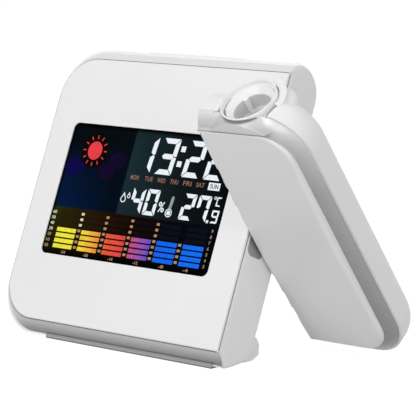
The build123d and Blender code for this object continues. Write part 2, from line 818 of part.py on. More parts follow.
with BuildPart() as board_chips:
    board_x = (board_left + board_right) / 2
    chip_row = board_bottom + driver_chip_size
    chip_left = board_x - processor_size / 2 - 1.5
    chip_right = chip_left + processor_size
    chip_low = chip_row + 1.5 * driver_chip_size
    block(body, (chip_left, chip_right), (chip_low, chip_low + processor_size),
          (board_back, board_back + chip_thickness))
    block(body, (chip_right + radio_chip_size, chip_right + 2 * radio_chip_size),
          (chip_low + processor_size + 2, chip_low + processor_size + 2 + radio_chip_size),
          (board_back, board_back + chip_thickness))
    block(body, (chip_left - 2 * driver_chip_size, chip_left - driver_chip_size),
          (chip_row, chip_row + driver_chip_size), (board_back, board_back + chip_thickness))
    axle(body, (chip_right + 4, chip_right + 4 + crystal_length), chip_low + processor_size / 2,
         board_back + chip_thickness, chip_thickness)
    for count in (1, 2):
        peg(body, board_right - count * capacitor_pitch, chip_row + capacitor_radius,
            (board_back, board_back + capacitor_height), capacitor_radius)
save(board_chips, "board_chips")

with BuildPart() as push_switches:
    for x in button_places.values():
        block(body, (x - switch_size / 2, x + switch_size / 2),
              (button_row_height - switch_size / 2, button_row_height + switch_size / 2),
              (board_back, board_back + switch_height))
        peg(body, x, button_row_height,
            (board_back + switch_height, board_back + switch_height + plunger_height), plunger_radius)
    block(body, (snooze_middle - switch_size / 2, snooze_middle + switch_size / 2),
          (board_top - 3.5, board_top + 1.0), (board_back, board_back + 2 * switch_height))
    block(body, (snooze_middle - 1.5, snooze_middle + 1.5), (board_top + 1.0, snooze_stem - switch_gap),
          (board_back + 0.6, board_back + 2 * switch_height - 1.6))
save(push_switches, "push_switches")

with BuildPart() as humidity_sensor:
    block(body, (vent_x - 1.5, vent_x + 1.5), (vent_height - 1.5, vent_height + 1.5),
          (board_back, board_back + 1.1))
    peg(body, vent_x, vent_height, (board_back + 0.7, board_back + 2), 0.5, mode=Mode.SUBTRACT)
save(humidity_sensor, "humidity_sensor")

with BuildPart() as power_jack:
    block(body, (jack_x - 4.5, jack_x + 4.5), (jack_height - 4.5, jack_height + 4.5),
          (board_back, inner_depth))
    peg(body, jack_x, jack_height, (inner_depth, slab_depth - 0.2), jack_nose)
    peg(body, jack_x, jack_height, (board_back + 1.5, slab_depth), jack_hole, mode=Mode.SUBTRACT)
    peg(body, jack_x, jack_height, (board_back + 1, slab_depth - 2.5), 0.5)
save(power_jack, "power_jack")

with BuildPart() as buzzer:
    peg(body, buzzer_x, buzzer_height, (inner_depth - buzzer_thickness, inner_depth), buzzer_radius)
    peg(body, buzzer_x, buzzer_height, (inner_depth - 1.2, inner_depth), 1.0, mode=Mode.SUBTRACT)
save(buzzer, "buzzer")

def add_screw(casing, x, height):
    """A pan-head screw put in from the rear, with a cross slot."""
    peg(casing, x, height, (screw_seat, screw_seat + screw_head_height), screw_head_radius)
    peg(casing, x, height, (screw_tip, screw_seat), screw_radius)
    top = screw_seat + screw_head_height
    block(casing, (x - 1.3, x + 1.3), (height - 0.25, height + 0.25), (top - 0.7, top + 1),
          mode=Mode.SUBTRACT)
    block(casing, (x - 0.25, x + 0.25), (height - 1.3, height + 1.3), (top - 0.7, top + 1),
          mode=Mode.SUBTRACT)


with BuildPart() as body_screws:
    for x, height in body_posts:
        add_screw(body, x, height)
save(body_screws, "body_screws")

# ---------------------------------------------------------------- hinge
def hinge_ring(xs, outer, inner):
    """Add a ring about the hinge axis."""
    axle(body, xs, half_height, pivot_depth, outer)
    axle(body, (min(xs) - 1, max(xs) + 1), half_height, pivot_depth, inner, mode=Mode.SUBTRACT)


with BuildPart() as hinge_washer:
    hinge_ring((body_right - recess_depth, arm_left - washer_gap), washer_radius,
               shaft_radius + running_gap)
save(hinge_washer, "hinge_washer")

boss_face = panel_x - hinge_boss
nut_face = boss_face - spring_washer_thickness
with BuildPart() as spring_washer:
    hinge_ring((nut_face, boss_face), spring_washer_radius, shaft_radius + running_gap)
save(spring_washer, "spring_washer")

with BuildPart() as hinge_nut:
    with BuildSketch(Plane(origin=body.point(nut_face, half_height, pivot_depth),
                           x_dir=body.up, z_dir=(-1, 0, 0))):
        RegularPolygon(nut_radius, 6)
        Circle(shaft_radius, mode=Mode.SUBTRACT)
    extrude(amount=nut_thickness)
save(hinge_nut, "hinge_nut")

with BuildPart() as hinge_shaft:
    axle(body, (nut_face - nut_thickness - shaft_end, arm_left + wall + shaft_flange),
         half_height, pivot_depth, shaft_radius)
    axle(body, (arm_left + wall, arm_left + wall + shaft_flange), half_height, pivot_depth,
         shaft_flange_radius)
    axle(body, (nut_face - nut_thickness - 5, arm_left + wall + shaft_flange + 5), half_height,
         pivot_depth, shaft_bore, mode=Mode.SUBTRACT)
save(hinge_shaft, "hinge_shaft")

# ---------------------------------------------------------------- arm: casing
def arm_form(inset):
    """Outer form of the arm's rear shell, or with an inset the hollow inside it."""
    half = arm_half + housing_flare - inset
    with BuildPart() as form:
        with BuildSketch(arm.face(band_end)):
            outline(arm_left + inset, arm_right + housing_flare - inset, -half, half,
                    arm_corner + housing_flare - inset)
        extrude(amount=band_end - (slab_depth - inset))
        rear = form.faces().sort_by(arm.rear_axis())[-1]
        keep = rear.edges().filter_by(lambda e: e.center().X > arm_left + inset + 1)
        fillet(keep, rear_round - inset)
    return form.part


def lens_boss(inset):
    """Half-round swelling behind the lens, which runs out below into the rear face."""
    radius = boss_radius - inset
    with BuildPart() as form:
        column((boss_bottom, saddle_top - inset), radius)
        with Locations(arm.level(boss_bottom - boss_runout / 2, lens_x, lens_depth)):
            Cone(inner_depth - lens_depth - inset, radius, boss_runout)
        block(arm, (lens_x - 2 * boss_radius, lens_x + 2 * boss_radius), (0, saddle_top + 1),
              (-slab_depth, lens_depth), mode=Mode.SUBTRACT)
    return form.part


with BuildPart() as arm_front_shell:
    with BuildSketch(arm.face(-arm_crown)):
        arm_outline(0)
    extrude(amount=-band_end - arm_crown)
    axle(arm, (arm_left - 1, arm_right + 1), 0, crown_radius - arm_crown, crown_radius,
         mode=Mode.INTERSECT)
    front = faces().sort_by(arm.rear_axis())[0]
    fillet(front.edges(), arm_edge_round)
    with BuildSketch(arm.face(face_plate)):
        outline(arm_left + wall, arm_right - wall, -arm_half + wall, arm_half - wall,
                arm_corner - wall)
    extrude(amount=face_plate - band_end, mode=Mode.SUBTRACT)
    for x, height in arm_posts:
        peg(arm, arm_left + x, height, (face_plate - part_line, post_end), post_radius)
        peg(arm, arm_left + x, height, (face_plate, post_end), screw_radius + part_line,
            mode=Mode.SUBTRACT)
    neck_hole()
save(arm_front_shell, "arm_front_shell")

slot_start = slot_middle - slot_angle / 2
with BuildPart() as ledge_slot:
    with BuildSketch(arm.level(ring_seat, lens_x, lens_depth)):
        with BuildLine():
            CenterArc((0, 0), rim_radius - rim_wall, slot_start, slot_angle)
            CenterArc((0, 0), ring_radius, slot_start, slot_angle)
            Line(PolarLine((0, 0), ring_radius, slot_start) @ 1,
                 PolarLine((0, 0), rim_radius - rim_wall, slot_start) @ 1)
            Line(PolarLine((0, 0), ring_radius, slot_start + slot_angle) @ 1,
                 PolarLine((0, 0), rim_radius - rim_wall, slot_start + slot_angle) @ 1)
        make_face()
    extrude(amount=ledge_top + 0.2 - ring_seat)

arm_bezel_blank = straight_form(arm, arm_outline, part_line, (-1, slab_depth))
with BuildPart() as arm_trim_band:
    add(band_form(arm_band_start, (arm, arm_outline)))
    # The saddle that holds the front of the lens collar and spreads into the band
    with BuildPart(mode=Mode.PRIVATE) as saddle:
        column((boss_seat - saddle_thickness, saddle_top), saddle_radius)
        with BuildPart(mode=Mode.PRIVATE) as skirt:
            with Locations(arm.level((arm_half + saddle_top) / 2, lens_x, lens_depth)):
                Cone(saddle_radius + saddle_spread, saddle_radius, saddle_top - arm_half)
            block(arm, (arm_left, arm_right), (0, lens_top), (0, band_end), mode=Mode.INTERSECT)
        add(skirt.part)
        block(arm, (lens_x - saddle_radius, lens_x + saddle_radius),
              (boss_seat - saddle_thickness, saddle_top), (band_end, lens_depth))
        block(arm, (arm_left, arm_right), (0, lens_top), (part_line, lens_depth), mode=Mode.INTERSECT)
    add(saddle.part)
    add(arm_bezel_blank, mode=Mode.SUBTRACT)
    column((boss_seat, lens_top + 1), rim_radius + part_line, mode=Mode.SUBTRACT)
    neck_hole()
save(arm_trim_band, "arm_trim_band")

arm_inner = arm_form(wall)
with BuildPart() as arm_rear_shell:
    add(arm_form(0))
    add(lens_boss(0))
    add(arm_inner, mode=Mode.SUBTRACT)
    add(lens_boss(wall), mode=Mode.SUBTRACT)
    # Notch round the lens collar
    with BuildPart(mode=Mode.PRIVATE) as seat:
        column((boss_seat - wall, saddle_top), rim_radius + saddle_gap + 1)
        block(arm, (lens_x - 2 * boss_radius, lens_x + 2 * boss_radius), (0, lens_top),
              (-slab_depth, lens_depth + part_line), mode=Mode.SUBTRACT)
    add(seat.part)
    notch_half = saddle_radius + saddle_gap
    block(arm, (lens_x - notch_half, lens_x + notch_half),
          (boss_seat - saddle_thickness - part_line, lens_top + 1), (-slab_depth, lens_depth),
          mode=Mode.SUBTRACT)
    column((boss_seat, lens_top + 1), rim_radius + saddle_gap, mode=Mode.SUBTRACT)
    neck_hole()
    # Screw bosses and two cradles for the projector tube
    for x, height in arm_posts:
        peg(arm, arm_left + x, height, (post_end + part_line, slab_depth - wall / 2), boss_outer)
        peg(arm, arm_left + x, height, (post_end, slab_depth), screw_radius + seat_gap,
            mode=Mode.SUBTRACT)
        peg(arm, arm_left + x, height, (screw_seat, slab_depth + 1),
            screw_head_radius + 2 * seat_gap, mode=Mode.SUBTRACT)
    for height in cradle_heights:
        block(arm, (lens_x - tube_radius - 1, lens_x + tube_radius + 1),
              (height, height + cradle_thickness), (lens_depth + 1, inner_depth + part_line))
    column((tube_bottom - 1, tube_top + slide_thickness), tube_radius + part_line, mode=Mode.SUBTRACT)
    axle(arm, (arm_left - 1, arm_left + wall + 0.1), 0, arm_pivot_depth, shaft_radius + part_line,
         mode=Mode.SUBTRACT)
save(arm_rear_shell, "arm_rear_shell")

# ---------------------------------------------------------------- arm: lens collar and focus ring
def turned(points):
    """Revolve a closed profile of (radius, height) points about the lens axis."""
    with BuildPart() as form:
        with BuildSketch(Plane(origin=arm.point(lens_x, 0, lens_depth), x_dir=(1, 0, 0),
                               z_dir=arm.back * -1)):
            Polygon(*points, align=None)
        revolve(axis=Axis(arm.point(lens_x, 0, lens_depth), arm.up))
    return form.part


def sector(direction, width, radii, heights):
    """A radial bar of even width that points in one direction from the lens axis."""
    angle = radians(direction)
    with BuildPart() as form:
        middle = sum(radii) / 2
        with BuildSketch(arm.level(heights[0], lens_x, lens_depth)):
            with Locations(Location((middle * cos(angle), middle * sin(angle)), direction)):
                Rectangle(radii[1] - radii[0], width)
        extrude(amount=heights[1] - heights[0])
    return form.part


with BuildPart() as lens_collar:
    inner_rim = rim_radius - rim_wall
    add(turned(((throat_bore, neck_bottom), (throat_radius, neck_bottom),
                (throat_radius, neck_step), (neck_radius, neck_step), (neck_radius, rim_bottom),
                (rim_radius, rim_bottom), (rim_radius, lens_top - 0.2), (rim_radius - 0.2, lens_top),
                (inner_rim + 0.1, lens_top), (inner_rim, lens_top - 0.1), (inner_rim, ledge_top),
                (ring_radius + ring_gap, ledge_top), (ring_radius + ring_gap, ring_seat),
                (neck_bore, ring_seat), (neck_bore, throat_top), (throat_bore, throat_top))))
    add(ledge_slot.part, mode=Mode.SUBTRACT)
save(lens_collar, "lens_collar")

with BuildPart() as focus_ring:
    sleeve = neck_bore - running_gap
    lip = ring_top - ring_head
    shank = throat_bore - running_gap
    add(turned(((ring_bore, ring_bottom), (shank, ring_bottom), (shank, throat_top + ring_gap),
                (sleeve, throat_top + ring_gap), (sleeve, lip), (ring_radius, lip),
                (ring_radius, ring_top - 0.15), (ring_radius - 0.15, ring_top),
                (ring_mouth + 0.1, ring_top), (ring_mouth, ring_top - 0.1),
                (ring_well, ring_top - cone_depth), (ring_well, well_floor),
                (ring_bore, well_floor))))
    add(sector(rib_direction, rib_width, (ring_well - rib_depth, ring_well + 0.3),
               (well_floor, ring_top - cone_depth)))
    add(sector(slot_middle, stop_width, (ring_radius - 0.2, rim_radius - rim_wall - 0.1),
               (ring_top - stop_drop - stop_height, ring_top - stop_drop)))
save(focus_ring, "focus_ring")

with BuildPart() as lens_barrel:
    outer = ring_bore - running_gap
    bore = outer - barrel_wall
    add(turned(((bore - 0.6, barrel_top - barrel_length), (outer, barrel_top - barrel_length),
                (outer, barrel_top), (bore, barrel_top), (bore, lens_seat),
                (bore - 0.6, lens_seat - 0.35))))
save(lens_barrel, "lens_barrel")


def bulged_lens(radius, low, edge, bulge):
    """A lens that bulges on both faces, resting on its rim at a height."""
    curve = (radius ** 2 + bulge ** 2) / (2 * bulge)
    with BuildPart() as form:
        with BuildSketch(Plane(origin=arm.point(lens_x, low, lens_depth), x_dir=(1, 0, 0),
                               z_dir=arm.back * -1)):
            with BuildLine():
                Polyline((0, edge + bulge), (0, -bulge))
                RadiusArc((0, -bulge), (radius, 0), -curve)
                Line((radius, 0), (radius, edge))
                RadiusArc((radius, edge), (0, edge + bulge), -curve)
            make_face()
        revolve(axis=Axis(arm.point(lens_x, 0, lens_depth), arm.up))
    return form.part


with BuildPart() as projection_lens:
    add(bulged_lens(ring_bore - running_gap - barrel_wall - part_line, lens_seat, lens_edge, lens_bulge))
save(projection_lens, "projection_lens")

# ---------------------------------------------------------------- arm: projector
with BuildPart() as projector_tube:
    bore = tube_radius - tube_wall
    add(turned(((bore, tube_bottom), (tube_radius, tube_bottom), (tube_radius, tube_top),
                (bore, tube_top), (bore, condenser_height), (bore - 0.7, condenser_height - 0.45),
                (bore - 0.7, condenser_height - 1.4), (bore, condenser_height - 1.4))))
save(projector_tube, "projector_tube")

with BuildPart() as condenser_lens:
    add(bulged_lens(tube_radius - tube_wall - part_line, condenser_height, condenser_edge,
                    condenser_bulge))
save(condenser_lens, "condenser_lens")

with BuildPart() as slide_lcd:
    block(arm, (lens_x - slide_size / 2, lens_x + slide_size / 2),
          (tube_top, tube_top + slide_thickness),
          (lens_depth - slide_size / 2, lens_depth + slide_size / 2))
save(slide_lcd, "slide_lcd")

with BuildPart() as led_board:
    block(arm, (lens_x - led_board_size / 2, lens_x + led_board_size / 2),
          (tube_bottom - led_board_thickness, tube_bottom),
          (lens_depth - led_board_size / 2, lens_depth + led_board_size / 2))
save(led_board, "led_board")

with BuildPart() as projector_led:
    column((tube_bottom, tube_bottom + led_height - led_radius), led_radius)
    with Locations(arm.level(tube_bottom + led_height - led_radius, lens_x, lens_depth)):
        Sphere(led_radius)
    column((tube_bottom, tube_bottom + 0.8), led_radius + 0.4)
    block(arm, (lens_x - 4, lens_x + 4), (tube_bottom - 5, tube_bottom), (0, slab_depth),
          mode=Mode.SUBTRACT)
save(projector_led, "projector_led")

with BuildPart() as arm_screws:
    for x, height in arm_posts:
        add_screw(arm, arm_left + x, height)
save(arm_screws, "arm_screws")
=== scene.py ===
# %% [markdown]
# # A projection alarm clock
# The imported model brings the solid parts, already in place and in metres. This lesson gives them
# finishes, lights the display, and sets up a small studio. The clock's body leans back on its
# feet, and the arm beside it swings on a hinge and throws the time on a wall.

# %% Load the frame
import bpy
import bmesh
from math import cos, pi, radians, sin
from mathutils import Matrix, Vector


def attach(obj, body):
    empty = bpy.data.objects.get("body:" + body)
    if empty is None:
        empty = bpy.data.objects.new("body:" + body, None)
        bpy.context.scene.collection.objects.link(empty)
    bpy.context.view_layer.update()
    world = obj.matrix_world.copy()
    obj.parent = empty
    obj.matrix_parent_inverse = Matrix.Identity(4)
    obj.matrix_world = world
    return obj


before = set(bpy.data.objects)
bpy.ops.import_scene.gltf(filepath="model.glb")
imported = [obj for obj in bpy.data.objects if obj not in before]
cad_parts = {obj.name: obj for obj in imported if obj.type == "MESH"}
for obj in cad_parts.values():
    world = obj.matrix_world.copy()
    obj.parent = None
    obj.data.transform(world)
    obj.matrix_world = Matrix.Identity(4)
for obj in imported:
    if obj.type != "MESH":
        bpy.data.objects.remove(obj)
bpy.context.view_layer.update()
print("pieces:", len(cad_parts))

# %% [markdown]
# ## Two leaning frames
# The body and the arm are flat casings that lean at different angles. Drawings on them are easier
# in the casing's own measures: x along the clock, height up the face, and depth from the face to
# the rear. Finished pieces stay unturned here, so a small class turns those millimetres into places
# in the scene.

# %% Places on a casing
MM = 0.001
LEAN = 22.4  # degrees that the body leans back
SWING = 59.5  # degrees between the body and the arm
BODY_FOOT = (0, -7.8, 6.5)  # the face's lower edge, in the scene's millimetres
FACE_HEIGHT = 91.5
PIVOT_DEPTH = 8.65
ARM_PROUD = 0.6  # the arm's face stands this far before the body's


class Casing:
    def __init__(self, origin, angle):
        self.origin = Vector(origin)
        self.angle = radians(angle)
        self.up = Vector((0, sin(self.angle), cos(self.angle)))
        self.back = Vector((0, cos(self.angle), -sin(self.angle)))

    def point(self, x, height, depth):
        """A place in millimetres on the casing, as metres in the scene."""
        return (self.origin + Vector((x, 0, 0)) + self.up * height + self.back * depth) * MM

    def matrix(self):
        """Turns a drawing with x to the right, height as y and towards the viewer as z."""
        turn = Matrix((Vector((1, 0, 0)), self.up, -self.back)).transposed().to_4x4()
        return Matrix.Translation(self.origin * MM) @ turn @ Matrix.Diagonal((MM, MM, MM, 1))


body = Casing(BODY_FOOT, LEAN)
pivot = body.origin + body.up * FACE_HEIGHT / 2 + body.back * PIVOT_DEPTH
arm_back = Casing((0, 0, 0), LEAN - SWING).back
arm = Casing(pivot - arm_back * (PIVOT_DEPTH + ARM_PROUD), LEAN - SWING)
print("hinge axis at", [round(v, 2) for v in pivot], "mm")

# %% [markdown]
# ## Nodes in a few words
# A material is a small network. This helper adds a node, sets its plain values, and links what is
# given as another node's output. A network could be drawn by hand, but a script shows every step.


# %% A helper for node networks
class Network:
    def __init__(self, tree):
        self.tree = tree

    def add(self, kind, values=None, **settings):
        node = self.tree.nodes.new(kind)
        for key, value in settings.items():
            setattr(node, key, value)
        for key, value in (values or {}).items():
            if isinstance(value, bpy.types.NodeSocket):
                self.tree.links.new(value, node.inputs[key])
            else:
                node.inputs[key].default_value = value
        return node

    def maths(self, operation, first, second=0.0):
        return self.add("ShaderNodeMath", {0: first, 1: second}, operation=operation).outputs[0]

    def vector(self, operation, first, second=(0.0, 0.0, 0.0), output="Vector"):
        node = self.add("ShaderNodeVectorMath", {0: first, 1: second}, operation=operation)
        return node.outputs[output]

    def scaled(self, vector, factor):
        node = self.add("ShaderNodeVectorMath", {0: vector, "Scale": factor}, operation="SCALE")
        return node.outputs["Vector"]

    def mix(self, factor, first, second):
        node = self.add("ShaderNodeMix", {0: factor, 6: first, 7: second}, data_type="RGBA")
        return node.outputs[2]

    def spread(self, value, low, high, to_low=0.0, to_high=1.0):
        """Stretches a value between low and high to new ends, and stops there."""
        node = self.add("ShaderNodeMapRange", {0: value, 1: low, 2: high, 3: to_low, 4: to_high})
        return node.outputs[0]

    def noise(self, place, scale, detail=2.0, roughness=0.5):
        values = {"Vector": place, "Scale": scale, "Detail": detail, "Roughness": roughness}
        return self.add("ShaderNodeTexNoise", values).outputs["Fac"]

    def streaks(self, place, stretch, detail):
        mapped = self.add("ShaderNodeMapping", {"Vector": place, "Scale": stretch})
        return self.noise(mapped.outputs[0], 1.0, detail)

    def bump(self, height, strength, distance):
        values = {"Height": height, "Strength": strength, "Distance": distance}
        return self.add("ShaderNodeBump", values).outputs[0]

    def axis(self, place, name):
        return self.add("ShaderNodeSeparateXYZ", {0: place}).outputs[name]


def srgb(code):
    """A colour written as six hex digits, as the linear values that a shader wants."""
    parts = [int(code[i:i + 2], 16) / 255 for i in (0, 2, 4)]
    return (*[c / 12.92 if c <= 0.04045 else ((c + 0.055) / 1.055) ** 2.4 for c in parts], 1.0)


def dimmed(colour, share):
    """The colour with this share of its light."""
    return (*[c * share for c in colour[:3]], 1.0)


def colour_ramp(net, factor, stops):
    """Colours written as hex digits at places from 0 to 1."""
    node = net.add("ShaderNodeValToRGB", {"Fac": factor})
    ends = node.color_ramp.elements
    ends[0].position, ends[0].color = stops[0][0], srgb(stops[0][1])
    ends[1].position, ends[1].color = stops[-1][0], srgb(stops[-1][1])
    for position, code in stops[1:-1]:
        ends.new(position).color = srgb(code)
    return node.outputs["Color"]


def new_material(name):
    """The network of an empty material, and the place on the object that patterns read."""
    material = bpy.data.materials.new(name)
    material.use_nodes = True
    material.node_tree.nodes.clear()
    net = Network(material.node_tree)
    net.material = material
    return net, net.add("ShaderNodeTexCoord").outputs["Object"]


def finished(net, shader):
    net.add("ShaderNodeOutputMaterial", {"Surface": shader.outputs[0]})
    return net.material


def principled(net, colour, rough, values):
    """The finished material, with the usual shader."""
    return finished(net, net.add("ShaderNodeBsdfPrincipled", {
        "Base Color": colour, "Roughness": rough, **values}))


def in_scene(name, data):
    obj = bpy.data.objects.new(name, data)
    bpy.context.scene.collection.objects.link(obj)
    return obj


print("middle grey in linear light:", round(srgb("808080")[0], 3))

# %% [markdown]
# ## Moulded plastic
# The white case is injection-moulded plastic. Seen close it has a very fine grain from the mould, a
# little unevenness in its gloss, and faint clouding in its colour. An image of the grain would need
# unwrapping. Three noise patterns at three scales don't.


# %% Plastic finishes
def plastic(name, colour, gloss=0.32, depth=0.000012, clouding=0.03, spread=0.05,
            shaded_where=None, shaded_colour="ffffff"):
    net, place = new_material(name)
    fine = net.noise(place, 2600.0, 3.0)
    broad = net.noise(place, 45.0)
    wear = net.noise(place, 260.0, 4.0, 0.65)
    base = srgb(colour)
    darker = dimmed(base, 1 - clouding)
    tone = net.mix(net.spread(broad, 0.35, 0.65), base, darker)
    tone = net.mix(net.spread(fine, 0.3, 0.7, 0.0, 0.35), tone, darker)
    # Painted shade: where the mask says, the colour turns to the darker shaded colour.
    if shaded_where:
        tone = net.mix(shaded_where(net, place), tone, srgb(shaded_colour))
    rough = net.spread(wear, 0.35, 0.65, gloss - spread, gloss + spread)
    return principled(net, tone, rough, {"Normal": net.bump(fine, 0.6, depth), "IOR": 1.5})


case_white = plastic("case white", "f3f3f4", gloss=0.4, clouding=0.015, spread=0.02)
face_white = plastic("face white", "f3f3f4", gloss=0.36, clouding=0.012, depth=0.000006,
                     spread=0.015)
lens_white = plastic("lens white", "f8f8f8", gloss=0.32, clouding=0.012, spread=0.02)
key_grey = plastic("key grey", "c9cacd", gloss=0.42)
hinge_grey = plastic("hinge grey", "a4a5a8", gloss=0.5)
inner_black = plastic("inner black", "1d1d20", gloss=0.45)
inner_white = plastic("inner white", "dcdcda", gloss=0.5)
barrel_grey = plastic("barrel grey", "dadadc", gloss=0.45)
print("plastics:", len(bpy.data.materials))

# %% [markdown]
# ## Focus ring
# The focus ring is white on top, and the wall of its well is painted greyer: painted shade for the
# shade that falls in the well. Two materials would need the faces to be sorted. Here the distance
# from the lens axis and the height along it say where the wall is, and a few vector steps give
# both.

# %% Focus ring
LENS_X, LENS_DEPTH, LENS_TOP, RIM_RADIUS = 65.25, 10.0, 51.0, 9.2
WELL_RADIUS, WELL_TOP = 6.2, 47.7


def well_wall_painted_shade(net, place):
    """1 on the wall of the well, where the painted shade goes; 0 elsewhere."""
    up = tuple(arm.up)
    from_axis = net.vector("SUBTRACT", place, tuple(arm.point(LENS_X, 0, LENS_DEPTH)))
    along = net.vector("DOT_PRODUCT", from_axis, up, output="Value")
    outwards = net.vector("SUBTRACT", from_axis, net.scaled(up, along))
    radius = net.vector("LENGTH", outwards, output="Value")
    outside = net.spread(radius, (WELL_RADIUS - 0.3) * MM, (WELL_RADIUS - 0.1) * MM)
    inside = net.spread(radius, (WELL_RADIUS + 0.1) * MM, (WELL_RADIUS + 0.2) * MM, 1.0, 0.0)
    below = net.spread(along, (WELL_TOP - 0.4) * MM, WELL_TOP * MM, 1.0, 0.0)
    return net.maths("MULTIPLY", net.maths("MULTIPLY", outside, inside), below)


# Painted shade: the wall of the well takes the greyer colour, standing in for its shade.
ring_white = plastic("ring white", "f8f8f8", gloss=0.32, clouding=0.012, spread=0.02,
                     shaded_where=well_wall_painted_shade, shaded_colour="dedee0")
print("well", 2 * WELL_RADIUS, "mm across")

# %% [markdown]
# ## Silver paint
# The bands round both faces are plastic with silver paint: not a mirror, but fine bright flakes in
# a clear coat. A plain metal would look too even, so a Voronoi pattern gives every flake its own
# tilt and tone. Its colour holds painted light and shade: darker low down, where the floor shades
# it, and lighter high up, where the light falls.


# %% Silver paint
def silver_paint(name, tones, metallic=0.25, gloss=0.36, painted_face_light_and_shade=None):
    """Tones are pairs of a height in millimetres above the table and a colour: painted shade and
    light.
    """
    net, place = new_material(name)
    flakes = net.add("ShaderNodeTexVoronoi", {"Vector": place, "Scale": 5200.0})
    streaks = net.streaks(place, (25.0, 900.0, 900.0), 3.0)
    level = net.spread(net.axis(place, "Z"), 0.0, 0.1)
    shade = colour_ramp(net, level, [(z / 100, tone) for z, tone in tones])
    sparkle_and_painted_light = net.maths("MULTIPLY", net.spread(flakes.outputs["Color"], 0.0, 1.0, 0.94, 1.04),
                        net.spread(streaks, 0.4, 0.6, 0.985, 1.015))
    # Painted light and shade near the arm's face multiply the flakes' tone.
    if painted_face_light_and_shade:
        sparkle_and_painted_light = net.maths("MULTIPLY", sparkle_and_painted_light, painted_face_light_and_shade(net, place))
    rough = net.spread(streaks, 0.35, 0.65, gloss - 0.04, gloss + 0.05)
    return principled(net, net.scaled(shade, sparkle_and_painted_light), rough, {
        "Metallic": metallic, "Normal": net.bump(flakes.outputs["Distance"], 0.25, 0.000006),
        "Coat Weight": 0.15, "Coat Roughness": 0.2})


def arm_face_painted_light_and_shade(net, place):
    """Painted shade: a little darker where the band nears the arm's face; painted light on the
    saddle before it.
    """
    from_face = net.vector("SUBTRACT", place, tuple(arm.origin * MM))
    depth = net.vector("DOT_PRODUCT", from_face, tuple(arm.back), output="Value")
    band = net.spread(depth, 1.2 * MM, 3.4 * MM, 0.84, 1.0)
    return net.maths("MULTIPLY", band, net.spread(depth, 0.13 * MM, 0.17 * MM, 1.3, 1.0))


# Painted shade low on the body's band, and painted light at its top.
band_silver = silver_paint("band silver", (
    (1.0, "6c6c6c"), (3.2, "989898"), (5.6, "bebebe"), (12.0, "bcbcbc"), (70.0, "c4c4c4"),
    (86.0, "e6e6e6")))
# Painted shade low on the arm's band, and painted light towards its top.
arm_silver = silver_paint("arm silver", (
    (2.0, "8e8e8e"), (30.0, "9c9c9c"), (58.0, "a8a8a8"), (72.0, "c2c2c2"), (84.0, "dadada")),
    painted_face_light_and_shade=arm_face_painted_light_and_shade)
# Painted shade: a dark line at the floor, and darker towards the band above.
foot_silver = silver_paint("foot silver", (
    (0.35, "4c4c4c"), (0.55, "b4b4b4"), (1.0, "a6a6a6"), (1.9, "7c7c7c")),
    metallic=0.15, gloss=0.45)
print("finishes so far:", len(bpy.data.materials))

# %% [markdown]
# ## Metals
# Springs, contacts and screws are plated steel, and show when the clock is open. Noise that is
# stretched along one direction gives the fine brushing, where real grooves would need many faces.

# %% Metals
BRUSHING = (700.0, 700.0, 60.0)


def metal(name, colour, gloss=0.3):
    net, place = new_material(name)
    brush = net.streaks(place, BRUSHING, 4.0)
    base = srgb(colour)
    tone = net.mix(net.spread(brush, 0.3, 0.7), base, dimmed(base, 0.8))
    rough = net.spread(brush, 0.3, 0.7, gloss - 0.08, gloss + 0.12)
    return principled(net, tone, rough, {"Metallic": 1.0, "Normal": net.bump(brush, 0.3, 0.00001)})


zinc = metal("zinc plate", "c4c5c8")
nickel = metal("nickel plate", "d2d0cb", gloss=0.22)
print("metals:", zinc.name, "and", nickel.name)

# %% [markdown]
# ## Rubber, boards and clear parts
# The feet are soft rubber, which holds dust and has no shine. The boards have fine tracks and round
# pads, drawn by a brick and a Voronoi pattern instead of an image. Lenses and the LED let light
# through, with a trace of haze.


# %% Rubber, circuit board and clear parts
def rubber(name, colour):
    net, place = new_material(name)
    dust = net.noise(place, 900.0, 5.0)
    patch = net.noise(place, 120.0)
    base = srgb(colour)
    pale = (*[min(1.0, c * 1.8 + 0.01) for c in base[:3]], 1.0)
    tone = net.mix(net.spread(patch, 0.4, 0.8, 0.0, 0.6), base, pale)
    return principled(net, tone, 0.85, {"Normal": net.bump(dust, 0.5, 0.00003)})


def circuit_board(name):
    net, place = new_material(name)
    lanes = net.add("ShaderNodeTexBrick", {
        "Vector": place, "Scale": 260.0, "Mortar Size": 0.06, "Color1": srgb("11502c"),
        "Color2": srgb("0e4627"), "Mortar": srgb("2a7a48")})
    dots = net.add("ShaderNodeTexVoronoi", {"Vector": place, "Scale": 330.0})
    pads = net.spread(dots.outputs["Distance"], 0.12, 0.14, 1.0, 0.0)
    tone = net.mix(pads, lanes.outputs["Color"], srgb("c9b36a"))
    rough = net.spread(pads, 0.0, 1.0, 0.35, 0.25)
    return principled(net, tone, rough, {"Normal": net.bump(lanes.outputs["Fac"], 0.4, 0.00003)})


def clear(name, tint, roughness=0.03):
    net, place = new_material(name)
    rough = net.spread(net.noise(place, 500.0), 0.4, 0.7, roughness, roughness + 0.05)
    return principled(net, srgb(tint), rough, {"Transmission Weight": 0.85, "IOR": 1.49})


foot_rubber = rubber("foot rubber", "3a3a3c")
board_green = circuit_board("board green")
lens_clear = clear("lens clear", "e9eef2")
led_clear = clear("led clear", "f4efe0", 0.15)
print("finishes so far:", len(bpy.data.materials))

# %% [markdown]
# ## Battery sleeves
# The cells carry a printed sleeve: a blue field, and a band of copper colour near the ends. It
# needs no printed picture, because the pattern follows the cells' length, which is the scene's x.

# %% Battery sleeve
COPPER_FROM, STEEL_FROM = 14.0, 20.8  # millimetres from the middle


